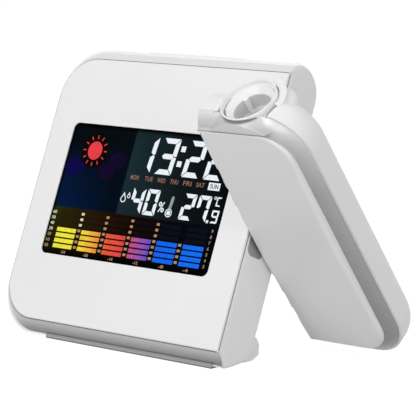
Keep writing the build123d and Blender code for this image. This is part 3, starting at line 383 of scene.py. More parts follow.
def cell_sleeve(name):
    net, place = new_material(name)
    from_middle = net.maths("ABSOLUTE", net.axis(place, "X"))
    copper = net.spread(from_middle, COPPER_FROM * MM, (COPPER_FROM + 0.2) * MM)
    steel = net.spread(from_middle, STEEL_FROM * MM, (STEEL_FROM + 0.1) * MM)
    scuff = net.noise(place, 700.0, 4.0)
    tone = net.mix(steel, net.mix(copper, srgb("1d4f8f"), srgb("b4703a")), srgb("c9c9c6"))
    tone = net.mix(net.spread(scuff, 0.6, 0.7, 0.0, 0.2), tone, srgb("d0d0d0"))
    return principled(net, tone, net.spread(scuff, 0.3, 0.7, 0.25, 0.4), {"Metallic": 0.4})


sleeve = cell_sleeve("cell sleeve")
print("finishes for the packed parts:", len(bpy.data.materials))

# %% [markdown]
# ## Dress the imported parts
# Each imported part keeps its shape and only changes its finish. One table says which finish goes
# where, so that no part is forgotten.

# %% Give every part its finish
finishes = {
    case_white: ("rear_housing", "side_panel", "arm_rear_shell", "snooze_bar", "battery_door"),
    face_white: ("front_bezel", "arm_front_shell"),
    lens_white: ("lens_collar",),
    ring_white: ("focus_ring",),
    key_grey: ("mode_button", "set_button", "up_button", "down_button"),
    hinge_grey: ("hinge_washer",),
    barrel_grey: ("lens_barrel",),
    inner_black: ("power_jack", "buzzer", "projector_tube", "board_chips",
                  "push_switches", "lcd_panel", "slide_lcd"),
    inner_white: ("display_tray", "backlight_guide", "humidity_sensor"),
    band_silver: ("trim_band",),
    arm_silver: ("arm_trim_band",),
    foot_silver: ("front_foot",),
    foot_rubber: ("rubber_feet",),
    zinc: ("body_screws", "arm_screws", "hinge_shaft", "hinge_nut"),
    nickel: ("battery_contacts", "spring_washer"),
    board_green: ("main_board", "led_board"),
    lens_clear: ("projection_lens", "condenser_lens"),
    led_clear: ("projector_led",),
    sleeve: ("battery_cells",),
}


def wear_finish(obj, material):
    obj.data.materials.clear()
    obj.data.materials.append(material)


for material, names in finishes.items():
    for name in names:
        wear_finish(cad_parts[name], material)
dressed = sum(len(names) for names in finishes.values())
print("parts with a finish:", dressed, "of", len(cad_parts))

# %% [markdown]
# ## The dark display
# The window is smoked acrylic over coloured foils. Even unlit, they glow faintly: deep blue over
# the weather signs, dark green over the figures, and brown turning to blue over the chart. Layers
# of dark glass would be slow and noisy, so the window itself glows. A Mapping and a Vector Rotate
# node turn the coordinates upright, so that the pattern follows the leaning face.

# %% Window with its foils
WINDOW = (-37.8, 36.7, 22.7, 68.6)  # left, right, bottom, top, in millimetres
FOIL_SPLIT = -8.8  # between the weather corner and the figures
FOIL_FLOOR = 39.1  # top of the chart's foil


def display_window_finish(name):
    net, place = new_material(name)
    moved = net.add("ShaderNodeMapping", {"Vector": place, "Location": tuple(-body.origin * MM)})
    turned = net.add("ShaderNodeVectorRotate", {"Vector": moved.outputs[0], "Angle": body.angle},
                     rotation_type="X_AXIS")
    x = net.maths("MULTIPLY", net.axis(turned.outputs[0], "X"), 1 / MM)
    height = net.maths("MULTIPLY", net.axis(turned.outputs[0], "Z"), 1 / MM)
    left, right, bottom, top = WINDOW
    # Weather corner: nearly black at the top, and a clear blue along its left edge below
    edge = net.spread(x, left, -14.0, 1.0, 0.0)
    low = net.spread(height, 41.0, 62.0, 1.0, 0.0)
    blue = net.mix(low, srgb("060c12"), srgb("020e1e"))
    blue = net.mix(net.maths("MULTIPLY", edge, low), blue, srgb("032048"))
    # Figures: dark green, lighter next to the weather corner
    green = colour_ramp(net, net.spread(x, FOIL_SPLIT, 34.0), (
        (0.0, "1b2d33"), (0.25, "15262a"), (0.5, "131c1f"), (1.0, "060c0d")))
    # Chart: olive and brown at the left, nearly black in the middle, navy at the right
    brown = colour_ramp(net, net.spread(x, left, right), (
        (0.0, "2c3c10"), (0.1, "2e2404"), (0.38, "1f0d02"), (0.56, "120502"), (0.78, "050511"),
        (1.0, "020a16")))
    brown = net.mix(net.spread(height, 26.0, FOIL_FLOOR, 0.75, 0.0), brown, srgb("020303"))
    upper = net.mix(net.spread(x, FOIL_SPLIT - 0.2, FOIL_SPLIT + 0.2), blue, green)
    foil = net.mix(net.spread(height, FOIL_FLOOR - 0.4, FOIL_FLOOR + 0.4), brown, upper)
    # The foils end just inside the window's black border
    across = net.maths("MINIMUM", net.maths("SUBTRACT", x, left), net.maths("SUBTRACT", right, x))
    along = net.maths("MINIMUM", net.maths("SUBTRACT", height, bottom),
                      net.maths("SUBTRACT", top, height))
    inside = net.spread(net.maths("MINIMUM", across, along), 0.35, 1.6)
    mist = net.noise(place, 70.0, 3.0)
    inside = net.maths("MULTIPLY", inside, net.spread(mist, 0.3, 0.7, 0.75, 1.0))
    glow = net.mix(inside, (0.0, 0.0, 0.0, 1.0), foil)
    rough = net.spread(net.noise(place, 180.0, 5.0), 0.45, 0.75, 0.12, 0.22)
    return principled(net, (0.0002, 0.0002, 0.0002, 1.0), rough, {
        "IOR": 1.35, "Specular IOR Level": 0.006, "Emission Color": glow,
        "Emission Strength": 1.0})


wear_finish(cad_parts["display_window"], display_window_finish("smoked window"))
print("window", round(WINDOW[1] - WINDOW[0], 1), "x", round(WINDOW[3] - WINDOW[2], 1), "mm")

# %% [markdown]
# ## Lit figures
# Every sign on the display is a thin flat shape just proud of the window, with its own light. An
# image could show them too, but shapes stay sharp at any distance. They are drawn in millimetres,
# given a hair's thickness, and put on the leaning face.

# %% From outlines to a thin mesh
FIGURE_BACK = -0.31  # a little inside the window, whose face is 0.3 mm behind the bezel's
FIGURE_FRONT = -0.25


def mesh_from(drawing, name):
    """Plain mesh data from a finished drawing."""
    data = bpy.data.meshes.new(name)
    drawing.to_mesh(data)
    drawing.free()
    return data


def baked(obj):
    """The object's mesh as its rules make it; the object itself goes."""
    bpy.context.view_layer.update()
    depsgraph = bpy.context.evaluated_depsgraph_get()
    data = bpy.data.meshes.new_from_object(obj.evaluated_get(depsgraph))
    obj.modifiers.clear()
    bpy.data.objects.remove(obj)
    return data


def new_piece(name, data, rides_on, material=None):
    """Puts a mesh in the scene as a piece that moves with a body."""
    obj = in_scene(name, data)
    if material:
        wear_finish(obj, material)
    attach(obj, rides_on)


def on_display(name, drawing, material):
    """Lays a drawing on the leaning face as a piece of the display."""
    data = mesh_from(drawing, name)
    data.transform(body.matrix())
    new_piece(name, data, "clock_body", material)


def flat_piece(name, outlines, material, front=FIGURE_FRONT):
    """Flat shapes on the display, each given as its corner points anticlockwise."""
    drawing = bmesh.new()
    for points in outlines:
        low = [drawing.verts.new((x, y, FIGURE_BACK)) for x, y in points]
        high = [drawing.verts.new((x, y, front)) for x, y in points]
        drawing.faces.new(high)
        drawing.faces.new(list(reversed(low)))
        for i in range(len(points)):
            j = (i + 1) % len(points)
            drawing.faces.new((low[i], low[j], high[j], high[i]))
    bmesh.ops.recalc_face_normals(drawing, faces=drawing.faces)
    on_display(name, drawing, material)


def glowing(net, tone):
    """The finished material: dark and glossy, and glowing in this tone."""
    return principled(net, (0.001, 0.001, 0.001, 1.0), 0.2, {
        "IOR": 1.35, "Specular IOR Level": 0.02, "Emission Color": tone, "Emission Strength": 1.0})


def lit(name, colour, speckle=0.12):
    """A lit sign: the light is a little uneven, as light behind a printed foil is."""
    net, place = new_material(name)
    base = srgb(colour)
    grain = net.spread(net.noise(place, 800.0), 0.35, 0.65)
    return glowing(net, net.mix(grain, base, dimmed(base, 1 - speckle)))


lit_white = lit("lit white", "eef4fb", 0.05)
lit_amber = lit("lit amber", "92695a")
lit_red = lit("lit red", "ec4048")
lit_tan = lit("lit tan", "b0906a")
lit_cream = lit("lit cream", "dfdcc2")
unlit_black = lit("unlit black", "010101")
print("figures stand", round(FIGURE_FRONT - FIGURE_BACK, 2), "mm thick")

# %% [markdown]
# ## Shadow line
# The fine shadow where the silver band meets the white face is painted shadow: a dark strip from
# the lower right corner round the left to the upper right corner. Rows of corners joined into a
# strip keep their exact places, which a swept curve might not.

# %% A painted shadow line along the face's edge
HALF_WIDTH = 48.5
CORNER = 13.5
EDGE_SHADOW_WIDTH, EDGE_SHADOW_FRONT, EDGE_SHADOW_BACK = 0.2, 0.38, 0.66
EDGE_SHADOW_INSET = 0.3  # from the body's right side


def solid_strip(name, rows, material, rides_on):
    """A mesh through rows of as many corners each, closed at both ends."""
    drawing = bmesh.new()
    rings = [[drawing.verts.new(corner) for corner in row] for row in rows]
    count = len(rows[0])
    for here, ahead in zip(rings, rings[1:]):
        for i in range(count):
            j = (i + 1) % count
            drawing.faces.new((here[i], here[j], ahead[j], ahead[i]))
    drawing.faces.new(rings[0])
    drawing.faces.new(rings[-1])
    bmesh.ops.recalc_face_normals(drawing, faces=drawing.faces)
    new_piece(name, mesh_from(drawing, name), rides_on, material)


def corner_arc(level, radius, start, steps=16):
    """A quarter circle about a left corner of the face, clockwise from the start angle."""
    turns = [radians(start - 90 * i / steps) for i in range(steps + 1)]
    return [(CORNER - HALF_WIDTH + radius * cos(a), level + radius * sin(a)) for a in turns]


def edge_path(out):
    """Points round the face's outline, this far outside it."""
    return [(HALF_WIDTH - EDGE_SHADOW_INSET, -out), *corner_arc(CORNER, CORNER + out, 270),
            *corner_arc(FACE_HEIGHT - CORNER, CORNER + out, 180),
            (HALF_WIDTH - EDGE_SHADOW_INSET, FACE_HEIGHT + out)]


edge_shadow_rows = [[body.point(x0, y0, EDGE_SHADOW_FRONT), body.point(x1, y1, EDGE_SHADOW_FRONT),
              body.point(x1, y1, EDGE_SHADOW_BACK), body.point(x0, y0, EDGE_SHADOW_BACK)]
             for (x0, y0), (x1, y1) in zip(edge_path(0.0), edge_path(EDGE_SHADOW_WIDTH))]
# Painted shadow: a dark strip where the silver band meets the white face.
solid_strip("edge_shadow_line", edge_shadow_rows, plastic("shadow line grey", "4c4c4e", gloss=0.6), "clock_body")
print("shadow line length about", round(2 * HALF_WIDTH * 2 + FACE_HEIGHT), "mm")

# %% [markdown]
# ## Painted shade in hollows
# The floor of the hinge pocket in the body's side is painted darker, the groove beside the white
# face is grey, and so is a strip round the front of the lens collar: painted shade where these lie
# in shade. Each is a thin strip, because the parts underneath have one colour.

# %% Painted shade: pocket floor, groove and collar strip
pocket_shade_grey = plastic("pocket shade grey", "a9a9ab", gloss=0.55)
shade_grey = plastic("shade grey", "8d8d8f", gloss=0.6)
POCKET_INSET, POCKET_FRONT, POCKET_BACK, POCKET_HALF = 0.8, 2.45, 10.45, 13.45
GROOVE_INSET, GROOVE_FRONT, GROOVE_BACK = 0.68, 0.93, 1.77
STRIP_START, STRIP_TURN, STRIP_HEIGHT, STRIP_DROP, STRIP_STEPS = 172, 148, 1.15, 1.38, 40


def side_shade_strip(name, material, inset, thick, front, back, levels):
    """A thin strip of painted shade up the body's right side, between two depths."""
    section = ((0.0, front), (thick, front), (thick, back), (0.0, back))
    rows = [[body.point(HALF_WIDTH - inset + out, level, depth) for out, depth in section]
            for level in levels]
    solid_strip(name, rows, material, "clock_body")


# Painted shade on the pocket's floor and in the groove beside the face.
side_shade_strip("pocket_floor_shade", pocket_shade_grey, POCKET_INSET, 0.06, POCKET_FRONT, POCKET_BACK,
            (FACE_HEIGHT / 2 - POCKET_HALF, FACE_HEIGHT / 2 + POCKET_HALF))
side_shade_strip("side_groove_shade", shade_grey, GROOVE_INSET, 0.3, GROOVE_FRONT, GROOVE_BACK,
            (0.6, FACE_HEIGHT - 0.5))

strip_rows = []
for i in range(STRIP_STEPS + 1):
    share = i / STRIP_STEPS
    turn = radians(STRIP_START + STRIP_TURN * share)
    tall = STRIP_HEIGHT * sin(pi * share) ** 0.5 + 0.02
    inner, outer = RIM_RADIUS + 0.01, RIM_RADIUS + 0.07
    strip_rows.append([arm.point(LENS_X + r * cos(turn), LENS_TOP - STRIP_DROP + h,
                                 LENS_DEPTH + r * sin(turn))
                       for r, h in ((inner, 0.0), (outer, 0.0), (outer, tall), (inner, tall))])
# Painted shade: a grey strip where the collar's wall lies in shade.
solid_strip("collar_shadow_strip", strip_rows, shade_grey, "arm")
print("painted shade strips: 3, the collar's strip in", len(strip_rows), "rows")

# %% [markdown]
# ## The arm's upper edge
# Round the top of the arm the silver laps over the face's edge, up to a fine dark painted shadow.
# The edge is rounded, so the lap is a thin skin that follows the same round, and it thins out round
# the far corner.

# %% Lap of the band over the arm's face
ARM_LEFT, ARM_RIGHT, ARM_HALF, ARM_CORNER = 48.9, 82.2, 46.15, 10.7
EDGE_ROUND, ARM_CROWN = 1.3, 1.4
SKIN_INNER, SKIN_OUTER, FACE_SHADOW_OUTER = 1.2, 1.36, 1.37  # radii about the edge's round
CORNER_X, CORNER_LEVEL = ARM_RIGHT - ARM_CORNER, ARM_HALF - ARM_CORNER


def arm_edge_path(straight=6, steps=26):
    """Along the upper edge and the far corner: x, height, outward x and height, and share."""
    path = [(ARM_LEFT + 0.02 + (CORNER_X - ARM_LEFT) * i / straight, ARM_HALF, 0.0, 1.0, 0.0)
            for i in range(straight)]
    for i in range(steps + 1):
        turn = radians(90 - 90 * i / steps)
        path.append((CORNER_X + ARM_CORNER * cos(turn), CORNER_LEVEL + ARM_CORNER * sin(turn),
                     cos(turn), sin(turn), i / steps))
    return path


def edge_row(place, inner, outer, angles):
    """Corners round the rounded edge: outside from the first angle to the last, then back."""
    x, height, out_x, out_height, share = place
    crown = ARM_CROWN * (1 - (height / ARM_HALF) ** 2)
    corners = []
    for radius, order in ((outer, angles), (inner, reversed(angles))):
        for angle in order:
            out = radius * cos(radians(angle)) - EDGE_ROUND
            depth = EDGE_ROUND - crown - radius * sin(radians(angle))
            corners.append(arm.point(x + out_x * out, height + out_height * out, depth))
    return corners


lap_rows, face_shadow_rows = [], []
for place in arm_edge_path():
    left = 1 - place[4]
    reach = 50.0 * left ** 1.5 + 1.0
    lap_rows.append(edge_row(place, SKIN_INNER, SKIN_OUTER, [reach * i / 5 for i in range(6)]))
    if left > 0.3:
        face_shadow_rows.append(edge_row(place, SKIN_INNER, FACE_SHADOW_OUTER, [reach, reach + 9.5 * left]))
solid_strip("arm_band_lap", lap_rows, arm_silver, "arm")
# Painted shadow: a dark line where the lap ends on the face.
solid_strip("arm_face_shadow_line", face_shadow_rows, shade_grey, "arm")
print("rows in the lap:", len(lap_rows), "and in its shadow line:", len(face_shadow_rows))

# %% [markdown]
# ## Round the lens collar
# White plastic closes the step beside the collar, the rear shell has a rounded edge, a fine dark
# line of painted shadow lies in the gap beside the collar, and a soft swelling lies behind the
# collar: a row of circles that grow and shrink along the way, which is easier to steer than a
# sculpted lump.
# Under the body's band a painted bar hides the front foot's root.

# %% Beside and behind the lens collar
HOUSING_FLARE, REAR_ROUND, ROUND_START = 4.6, 9.7, 7.6
NOTCH_SHADOW_RISE, NOTCH_SHADOW_SINK = 0.05, -0.3
SWELL_RADIUS, SWELL_LEVEL, SWELL_THICK, SWELL_STEPS = 11.2, 45.6, 2.4, 24
STEP_SECTION = ((54.7, 50.8), (56.2, 50.1), (56.2, 49.3), (54.7, 49.3))  # x, height
EDGE_SECTION = ((49.5, 3.9), (50.82, 4.42), (50.82, 4.6), (49.3, 4.6))  # height, depth

step_rows = [[arm.point(x, height, depth) for x, height in STEP_SECTION]
             for depth in (4.5, 6.0, 8.0, 9.6)]
top_rows = [[arm.point(x, height, depth) for height, depth in EDGE_SECTION]
            for x in (48.92, 52.0, 54.9)]
solid_strip("collar_step", step_rows, lens_white, "arm")
solid_strip("shell_edge", top_rows, lens_white, "arm")


def shell_top(x, depth):
    """Height of the arm's rear shell, which curves down to its far side and its rear."""
    height = CORNER_LEVEL + ((ARM_CORNER + HOUSING_FLARE) ** 2 - (x - CORNER_X) ** 2) ** 0.5
    past = max(0.0, depth - ROUND_START)
    return height - (REAR_ROUND - (REAR_ROUND ** 2 - past ** 2) ** 0.5)


# Painted shadow: a dark line in the gap beside the collar.
notch_shadow_rows = []
for i in range(11):
    depth = 4.45 + 0.5 * i
    near, far = 75.5 + 0.002 * i ** 2, 75.85 + 0.006 * i ** 2
    notch_shadow_rows.append([arm.point(x, shell_top(x, depth) + rise, depth) for x, rise in
                      ((near, NOTCH_SHADOW_RISE), (far, NOTCH_SHADOW_RISE), (far, NOTCH_SHADOW_SINK), (near, NOTCH_SHADOW_SINK))])
solid_strip("collar_notch_shadow", notch_shadow_rows, shade_grey, "arm")

swell_rows = []
for i in range(SWELL_STEPS + 1):
    share = i / SWELL_STEPS
    turn = radians(-12 + 88 * share)
    thick = 0.1 + SWELL_THICK * sin(pi * share) ** 0.8
    row = []
    for angle in range(0, 360, 20):
        reach = SWELL_RADIUS + thick * cos(radians(angle))
        row.append(arm.point(LENS_X + reach * cos(turn), SWELL_LEVEL + thick * sin(radians(angle)),
                             LENS_DEPTH + reach * sin(turn)))
    swell_rows.append(row)
solid_strip("boss_swelling", swell_rows, case_white, "arm")
print("swelling in", len(swell_rows), "rows of", len(swell_rows[0]), "corners")

# %% Painted bar above the front foot
BAR_SECTION = ((-5.0, 0.08), (-5.6, 0.08), (-5.78, 0.3), (-5.8, 1.4), (-5.62, 1.75), (-5.0, 1.8))
bar_rows = [[Vector((x, y, z)) * MM for y, z in BAR_SECTION] for x in (-28.8, 0.0, 44.6)]
solid_strip("foot_bar", bar_rows, foot_silver, "clock_body")
print("bar length", round((bar_rows[-1][0] - bar_rows[0][0]).length / MM, 1), "mm")

# %% [markdown]
# ## Seven-segment figures
# A figure is made of up to seven bars with slanted ends. The bars are written once, and each figure
# names those that are on. All lean a little to the right.

# %% Bars of a figure
SEGMENTS = {"0": "abcdef", "1": "bc", "2": "abged", "3": "abgcd", "4": "fgbc", "7": "abcf",
            "9": "abcdfg", "C": "afed"}


def figure(sign, x, base, w, h, t, slant, g=0.24):
    """A figure's outlines, from its lower left corner, with bars t thick and gaps of about g."""
    m, cut, inset = h / 2, t * 0.45, t + g * 0.4
    shapes = {
        "a": ((g, h), (inset, h - t), (w - inset, h - t), (w - g, h)),
        "d": ((g, 0), (w - g, 0), (w - inset, t), (inset, t)),
        "f": ((0, h - g), (0, m + g), (cut, m + g / 2), (t, m + cut), (t, h - t - g)),
        "b": ((w, h - g), (w - t, h - t - g), (w - t, m + cut), (w - cut, m + g / 2), (w, m + g)),
        "e": ((0, g), (t, t + g), (t, m - cut), (cut, m - g / 2), (0, m - g)),
        "c": ((w, g), (w, m - g), (w - cut, m - g / 2), (w - t, m - cut), (w - t, t + g)),
        "g": ((t / 2 + g, m), (t + g, m - t / 2), (w - t - g, m - t / 2), (w - t / 2 - g, m),
              (w - t - g, m + t / 2), (t + g, m + t / 2)),
    }
    return [[(x + px + slant * py, base + py) for px, py in shapes[s]] for s in SEGMENTS[sign]]


def rectangle(x, y, width, height):
    return [(x + side * width / 2, y + level * height / 2)
            for side, level in ((-1, -1), (1, -1), (1, 1), (-1, 1))]


def disc(x, y, radius, steps=40):
    return [(x + radius * cos(2 * pi * i / steps), y + radius * sin(2 * pi * i / steps))
            for i in range(steps)]


def drawn_line(outer, inner):
    """A band between two closed outlines of as many points, in four-cornered shapes."""
    return [[inner[i - 1], outer[i - 1], outer[i], inner[i]] for i in range(len(outer))]


def ring(x, y, outer, inner, steps):
    return drawn_line(disc(x, y, outer, steps), disc(x, y, inner, steps))


FIGURES = (  # signs, their x, and the other measures
    ("1322", (-6.3, 3.1, 15.0, 24.4), (54.0, 7.3, 12.4, 1.75, 0.08)),
    ("40", (-3.85, 2.5), (39.95, 5.3, 8.8, 1.35, 0.05)),
    ("27", (18.4, 24.7), (39.95, 5.2, 8.8, 1.35, 0.08)),
    ("9", (31.9,), (40.1, 2.9, 4.3, 0.62, 0.05, 0.08)),
    ("C", (32.6,), (45.7, 2.0, 3.1, 0.48, 0.05, 0.06)),
)
clock_figures = [outline for signs, places, measures in FIGURES
                 for sign, x in zip(signs, places) for outline in figure(sign, x, *measures)]
clock_figures += [rectangle(13.2, 63.2, 1.9, 1.9), rectangle(12.9, 58.1, 1.9, 1.9),
                  rectangle(30.85, 40.45, 0.95, 0.95), *ring(31.95, 48.4, 0.52, 0.3, 20)]
flat_piece("time_figures", clock_figures, lit_white)
print("bars and dots:", len(clock_figures))

# %% [markdown]
# ## Drops and thermometer
# The drops and the thermometer are small pictures of the same flat shapes, so that they glow alike.
# A drop is a circle whose upper part is drawn out to a point.


# %% Drops and thermometer
def drop(x, y, radius, tall, scale=1.0, steps=28):
    points = []
    for i in range(steps):
        turn = 2 * pi * i / steps
        px, py = radius * scale * sin(turn), -radius * scale * cos(turn)
        if py > 0:
            px *= 1 - 0.75 * py / (radius * scale)
            py = py * tall / radius
        points.append((x + px, y + py))
    return points


signs = drawn_line(drop(-7.3, 44.4, 1.2, 2.3), drop(-7.3, 44.4, 1.2, 2.1, 0.72))
signs += drawn_line(drop(-5.1, 45.5, 0.7, 1.4), drop(-5.1, 45.5, 0.7, 1.2, 0.6))
signs += [*ring(13.8, 41.6, 1.45, 1.12, 32), disc(13.8, 41.6, 0.8, 20)]
flat_piece("weather_signs", signs, lit_white)
print("shapes in the signs:", len(signs))
stem = [(13.3, 43.1), (14.5, 43.1), (14.85, 46.6), (14.7, 47.1), (14.3, 47.3), (13.9, 47.1),
        (13.65, 46.6)]
flat_piece("thermometer_stem", [stem], lit("lit grey", "98a09c"))

# %% [markdown]
# ## Lettering
# The weekday names are plain lettering, printed on the foil. Letters are hard to draw as corner
# points, and a text object has their outlines. It becomes a mesh and is laid on the leaning face.


# %% Lettering
def lettering(name, entries, material, back=FIGURE_BACK, front=FIGURE_FRONT):
    """Small words on the display: each entry is words, centre x, base height, cap height, width."""
    drawing = bmesh.new()
    for words, x, base, tall, wide in entries:
        curve = bpy.data.curves.new(name + " text", "FONT")
        curve.body = words
        curve.resolution_u = 3
        curve.offset = 0.012
        curve.extrude = 0.5
        data = baked(in_scene(name + " text", curve))
        xs = [v.co.x for v in data.vertices]
        ys = [v.co.y for v in data.vertices]
        left, low, wide_now, tall_now = min(xs), min(ys), max(xs) - min(xs), max(ys) - min(ys)
        for v in data.vertices:
            v.co = (x + (v.co.x - left - wide_now / 2) * (wide / wide_now),
                    base + (v.co.y - low) * (tall / tall_now),
                    front if v.co.z > 0 else back)
        drawing.from_mesh(data)
        bpy.data.meshes.remove(data)
    on_display(name, drawing, material)


WEEK = (("MON", -4.7), ("TUE", 1.6), ("WED", 7.2), ("THU", 12.8), ("FRI", 18.6), ("SAT", 24.2))
DAY_PLACE = (51.25, 1.55, 3.6)  # base height, cap height and width
lettering("weekday_names", [(day, x, *DAY_PLACE) for day, x in WEEK], lit_amber)
flat_piece("today_field", [rectangle(30.1, 52.0, 4.9, 2.5)], lit_white, front=-0.27)
lettering("today_name", [("SUN", 30.1, *DAY_PLACE)], unlit_black, back=-0.28, front=-0.24)
lettering("percent_sign", [("%", 10.2, 41.5, 3.5, 2.7)], lit_white)
scale_left = [(str(60 - 10 * i), -36.2, 36.6 - 1.95 * i, 1.1, 1.7) for i in range(7)]
scale_right = [(str(9 - i), 34.2, 37.0 - 1.95 * i, 1.1, 0.7) for i in range(7)]
scale_low = [("-" + str(24 - 4 * i), x, 23.3, 1.0, 2.2)
             for i, x in enumerate((-27.8, -17.2, -5.9, 5.3, 16.6, 27.2))]
lettering("scale_left", scale_left[:4], lit_cream)
lettering("scale_right", scale_right + scale_left[4:] + scale_low, lit_tan)
print("weekday names:", len(WEEK) + 1, "and scale numbers:",
      len(scale_left) + len(scale_right) + len(scale_low))

# %% [markdown]
# ## Rays and rows by rule
# The sun has twelve equal rays, and the chart is rows of bars and dots at even steps. Repeats like
# these follow a rule, so Geometry Nodes lay them out. Each tree has named inputs for its sizes,
# ends in Realize Instances and Set Material, and becomes a plain mesh.


# %% Trees for repeats
def node_tree(name, counts, sizes):
    """A Geometry Nodes tree with one mesh in and out, and these named inputs."""
    tree = bpy.data.node_groups.new(name, "GeometryNodeTree")
    inputs = [("Geometry", "Geometry"), *[(label, "Int") for label in counts],
              *[(label, "Float") for label in sizes], ("Material", "Material")]
    for label, kind in inputs:
        tree.interface.new_socket(label, in_out="INPUT", socket_type="NodeSocket" + kind)
    tree.interface.new_socket("Geometry", in_out="OUTPUT", socket_type="NodeSocketGeometry")
    net = Network(tree)
    return tree, net, net.add("NodeGroupInput").outputs, net.add("NodeGroupOutput")


def end_tree(net, group_output, geometry, material_socket):
    real = net.add("GeometryNodeRealizeInstances", {"Geometry": geometry})
    worn = net.add("GeometryNodeSetMaterial", {
        "Geometry": real.outputs[0], "Material": material_socket})
    net.tree.links.new(worn.outputs[0], group_output.inputs[0])


def block(net, length, width, thickness):
    size = net.add("ShaderNodeCombineXYZ", {0: length, 1: width, 2: thickness})
    return net.add("GeometryNodeMeshCube", {"Size": size.outputs[0]}).outputs["Mesh"]


def ray_tree():
    """Blocks on a circle, each turned to point outwards."""
    tree, net, given, out = node_tree("rays on a ring", ("Count",), (
        "Radius", "Length", "Width", "Thickness"))
    circle = net.add("GeometryNodeMeshCircle", {
        "Vertices": given["Count"], "Radius": given["Radius"]})
    ray = block(net, given["Length"], given["Width"], given["Thickness"])
    place = net.add("GeometryNodeInputPosition")
    turn = net.add("FunctionNodeAlignRotationToVector", {"Vector": place.outputs[0]}, axis="X")
    rays = net.add("GeometryNodeInstanceOnPoints", {
        "Points": circle.outputs["Mesh"], "Instance": ray, "Rotation": turn.outputs[0]})
    end_tree(net, out, rays.outputs[0], given["Material"])
    return tree


def copies(net, count, offset, instance):
    """Copies of an instance at even steps along a line."""
    line = net.add("GeometryNodeMeshLine", {"Count": count, "Offset": offset}, mode="OFFSET")
    return net.add("GeometryNodeInstanceOnPoints", {
        "Points": line.outputs[0], "Instance": instance}).outputs[0]


def grid_tree():
    """A column of blocks, and then a row of such columns."""
    tree, net, given, out = node_tree("bars on a grid", ("Columns", "Rows"), (
        "Column Step", "Row Step", "Bar Length", "Bar Height", "Thickness"))
    across = net.add("ShaderNodeCombineXYZ", {0: given["Column Step"]}).outputs[0]
    up = net.add("ShaderNodeCombineXYZ", {1: given["Row Step"]}).outputs[0]
    bar = block(net, given["Bar Length"], given["Bar Height"], given["Thickness"])
    whole = copies(net, given["Columns"], across, copies(net, given["Rows"], up, bar))
    end_tree(net, out, whole, given["Material"])
    return tree


def grown(name, tree, values, start):
    """Runs a tree with these input values, and lays the mesh on the display at its start."""
    seed = in_scene(name + " seed", bpy.data.meshes.new(name + " seed"))
    modifier = seed.modifiers.new("rule", "NODES")
    modifier.node_group = tree
    for item in tree.interface.items_tree:
        if item.in_out == "INPUT" and item.name in values:
            modifier[item.identifier] = values[item.name]
    data = baked(seed)
    data.transform(Matrix.Translation((*start, FIGURE_BACK + 0.03)))
    data.transform(body.matrix())
    data.name = name
    new_piece(name, data, "clock_body")
    print(name, "has", len(data.polygons), "faces")


rays_on_ring = ray_tree()
bars_on_grid = grid_tree()
print("trees:", ", ".join(group.name for group in bpy.data.node_groups))

# %% [markdown]
# ## Sun and clouds
# The lit sun stands on a black field, and its rays come from the tree above. The clouds are unlit
# signs that only just show, so they are flat shapes that hardly glow.

# %% Sun over its clouds
SUN = (-25.56, 59.56)
flat_piece("sun_halo", [disc(*SUN, 6.1, 64)], unlit_black, front=-0.285)
flat_piece("sun_disc", [disc(*SUN, 3.2, 64)], lit_red)
grown("sun_rays", rays_on_ring, {"Count": 12, "Radius": 4.75, "Length": 1.3, "Width": 0.38,
                                 "Thickness": 0.06, "Material": lit_red}, SUN)


def blot(x, y, width, height):
    return [(x + px * width / 2, y + py * height / 2) for px, py in disc(0.0, 0.0, 1.0)]


cloud_blue = lit("cloud blue", "080248", 0.3)
cloud_violet = lit("cloud violet", "11022a", 0.3)
flat_piece("blue_cloud", [blot(-33.0, 53.2, 8.6, 6.6)], cloud_blue, front=-0.29)
flat_piece("violet_cloud", [blot(-14.4, 56.9, 7.6, 5.8)], cloud_violet, front=-0.289)
flat_piece("violet_cloud_low", [blot(-18.2, 53.0, 8.0, 6.0)], cloud_violet, front=-0.287)

# %% [markdown]
# ## Pressure chart
# The chart's bars take their colour from where they stand: yellow at the left, then orange, red and
# violet, and blue at the right. A material for each column would show steps, so one colour ramp
# along x runs through all the bars.

# %% Chart colours
CHART_HALF = 34.0  # millimetres from the middle to either end


def chart_finish(name, stops):
    net, place = new_material(name)
    share = net.spread(net.axis(place, "X"), -CHART_HALF * MM, CHART_HALF * MM)
    ramp = colour_ramp(net, share, stops)
    grain = net.spread(net.noise(place, 700.0), 0.35, 0.65, 0.0, 0.15)
    return glowing(net, net.mix(grain, ramp, (0.0, 0.0, 0.0, 1.0)))


chart_lit = chart_finish("chart lit", ((0.0, "f2f040"), (0.16, "f6e63e"), (0.3, "f4983c"),
                                       (0.36, "ee5a3a"), (0.5, "e2404a"), (0.54, "b85496"),
                                       (0.64, "6a52cc"), (0.69, "0f66f4"), (1.0, "0f72fa")))
chart_dim = chart_finish("chart dim", ((0.0, "241f04"), (0.3, "201003"), (0.47, "150402"),
                                       (0.62, "080208"), (0.75, "030614"), (1.0, "020812")))
chart_rows = {"Columns": 6, "Rows": 4, "Column Step": 11.36, "Row Step": 1.9, "Bar Length": 8.75,
              "Bar Height": 1.38, "Thickness": 0.06, "Material": chart_lit}
unlit_rows = {**chart_rows, "Rows": 3, "Thickness": 0.03, "Material": chart_dim}
dots = {"Columns": 1, "Rows": 4, "Column Step": 11.3, "Row Step": 1.92, "Bar Length": 1.25,
        "Bar Height": 0.85, "Thickness": 0.06, "Material": lit_tan}
grown("chart_bars", bars_on_grid, chart_rows, (-28.8, 25.65))
grown("chart_blocks_unlit", bars_on_grid, unlit_rows, (-28.8, 33.4))
grown("chart_dots", bars_on_grid, {**dots, "Columns": 3, "Rows": 7}, (-11.7, 25.89))
grown("chart_dots_first", bars_on_grid, {**dots, "Rows": 3, "Material": lit_cream}, (-23.1, 33.58))
grown("chart_dots_second", bars_on_grid, dots, (-23.1, 25.87))
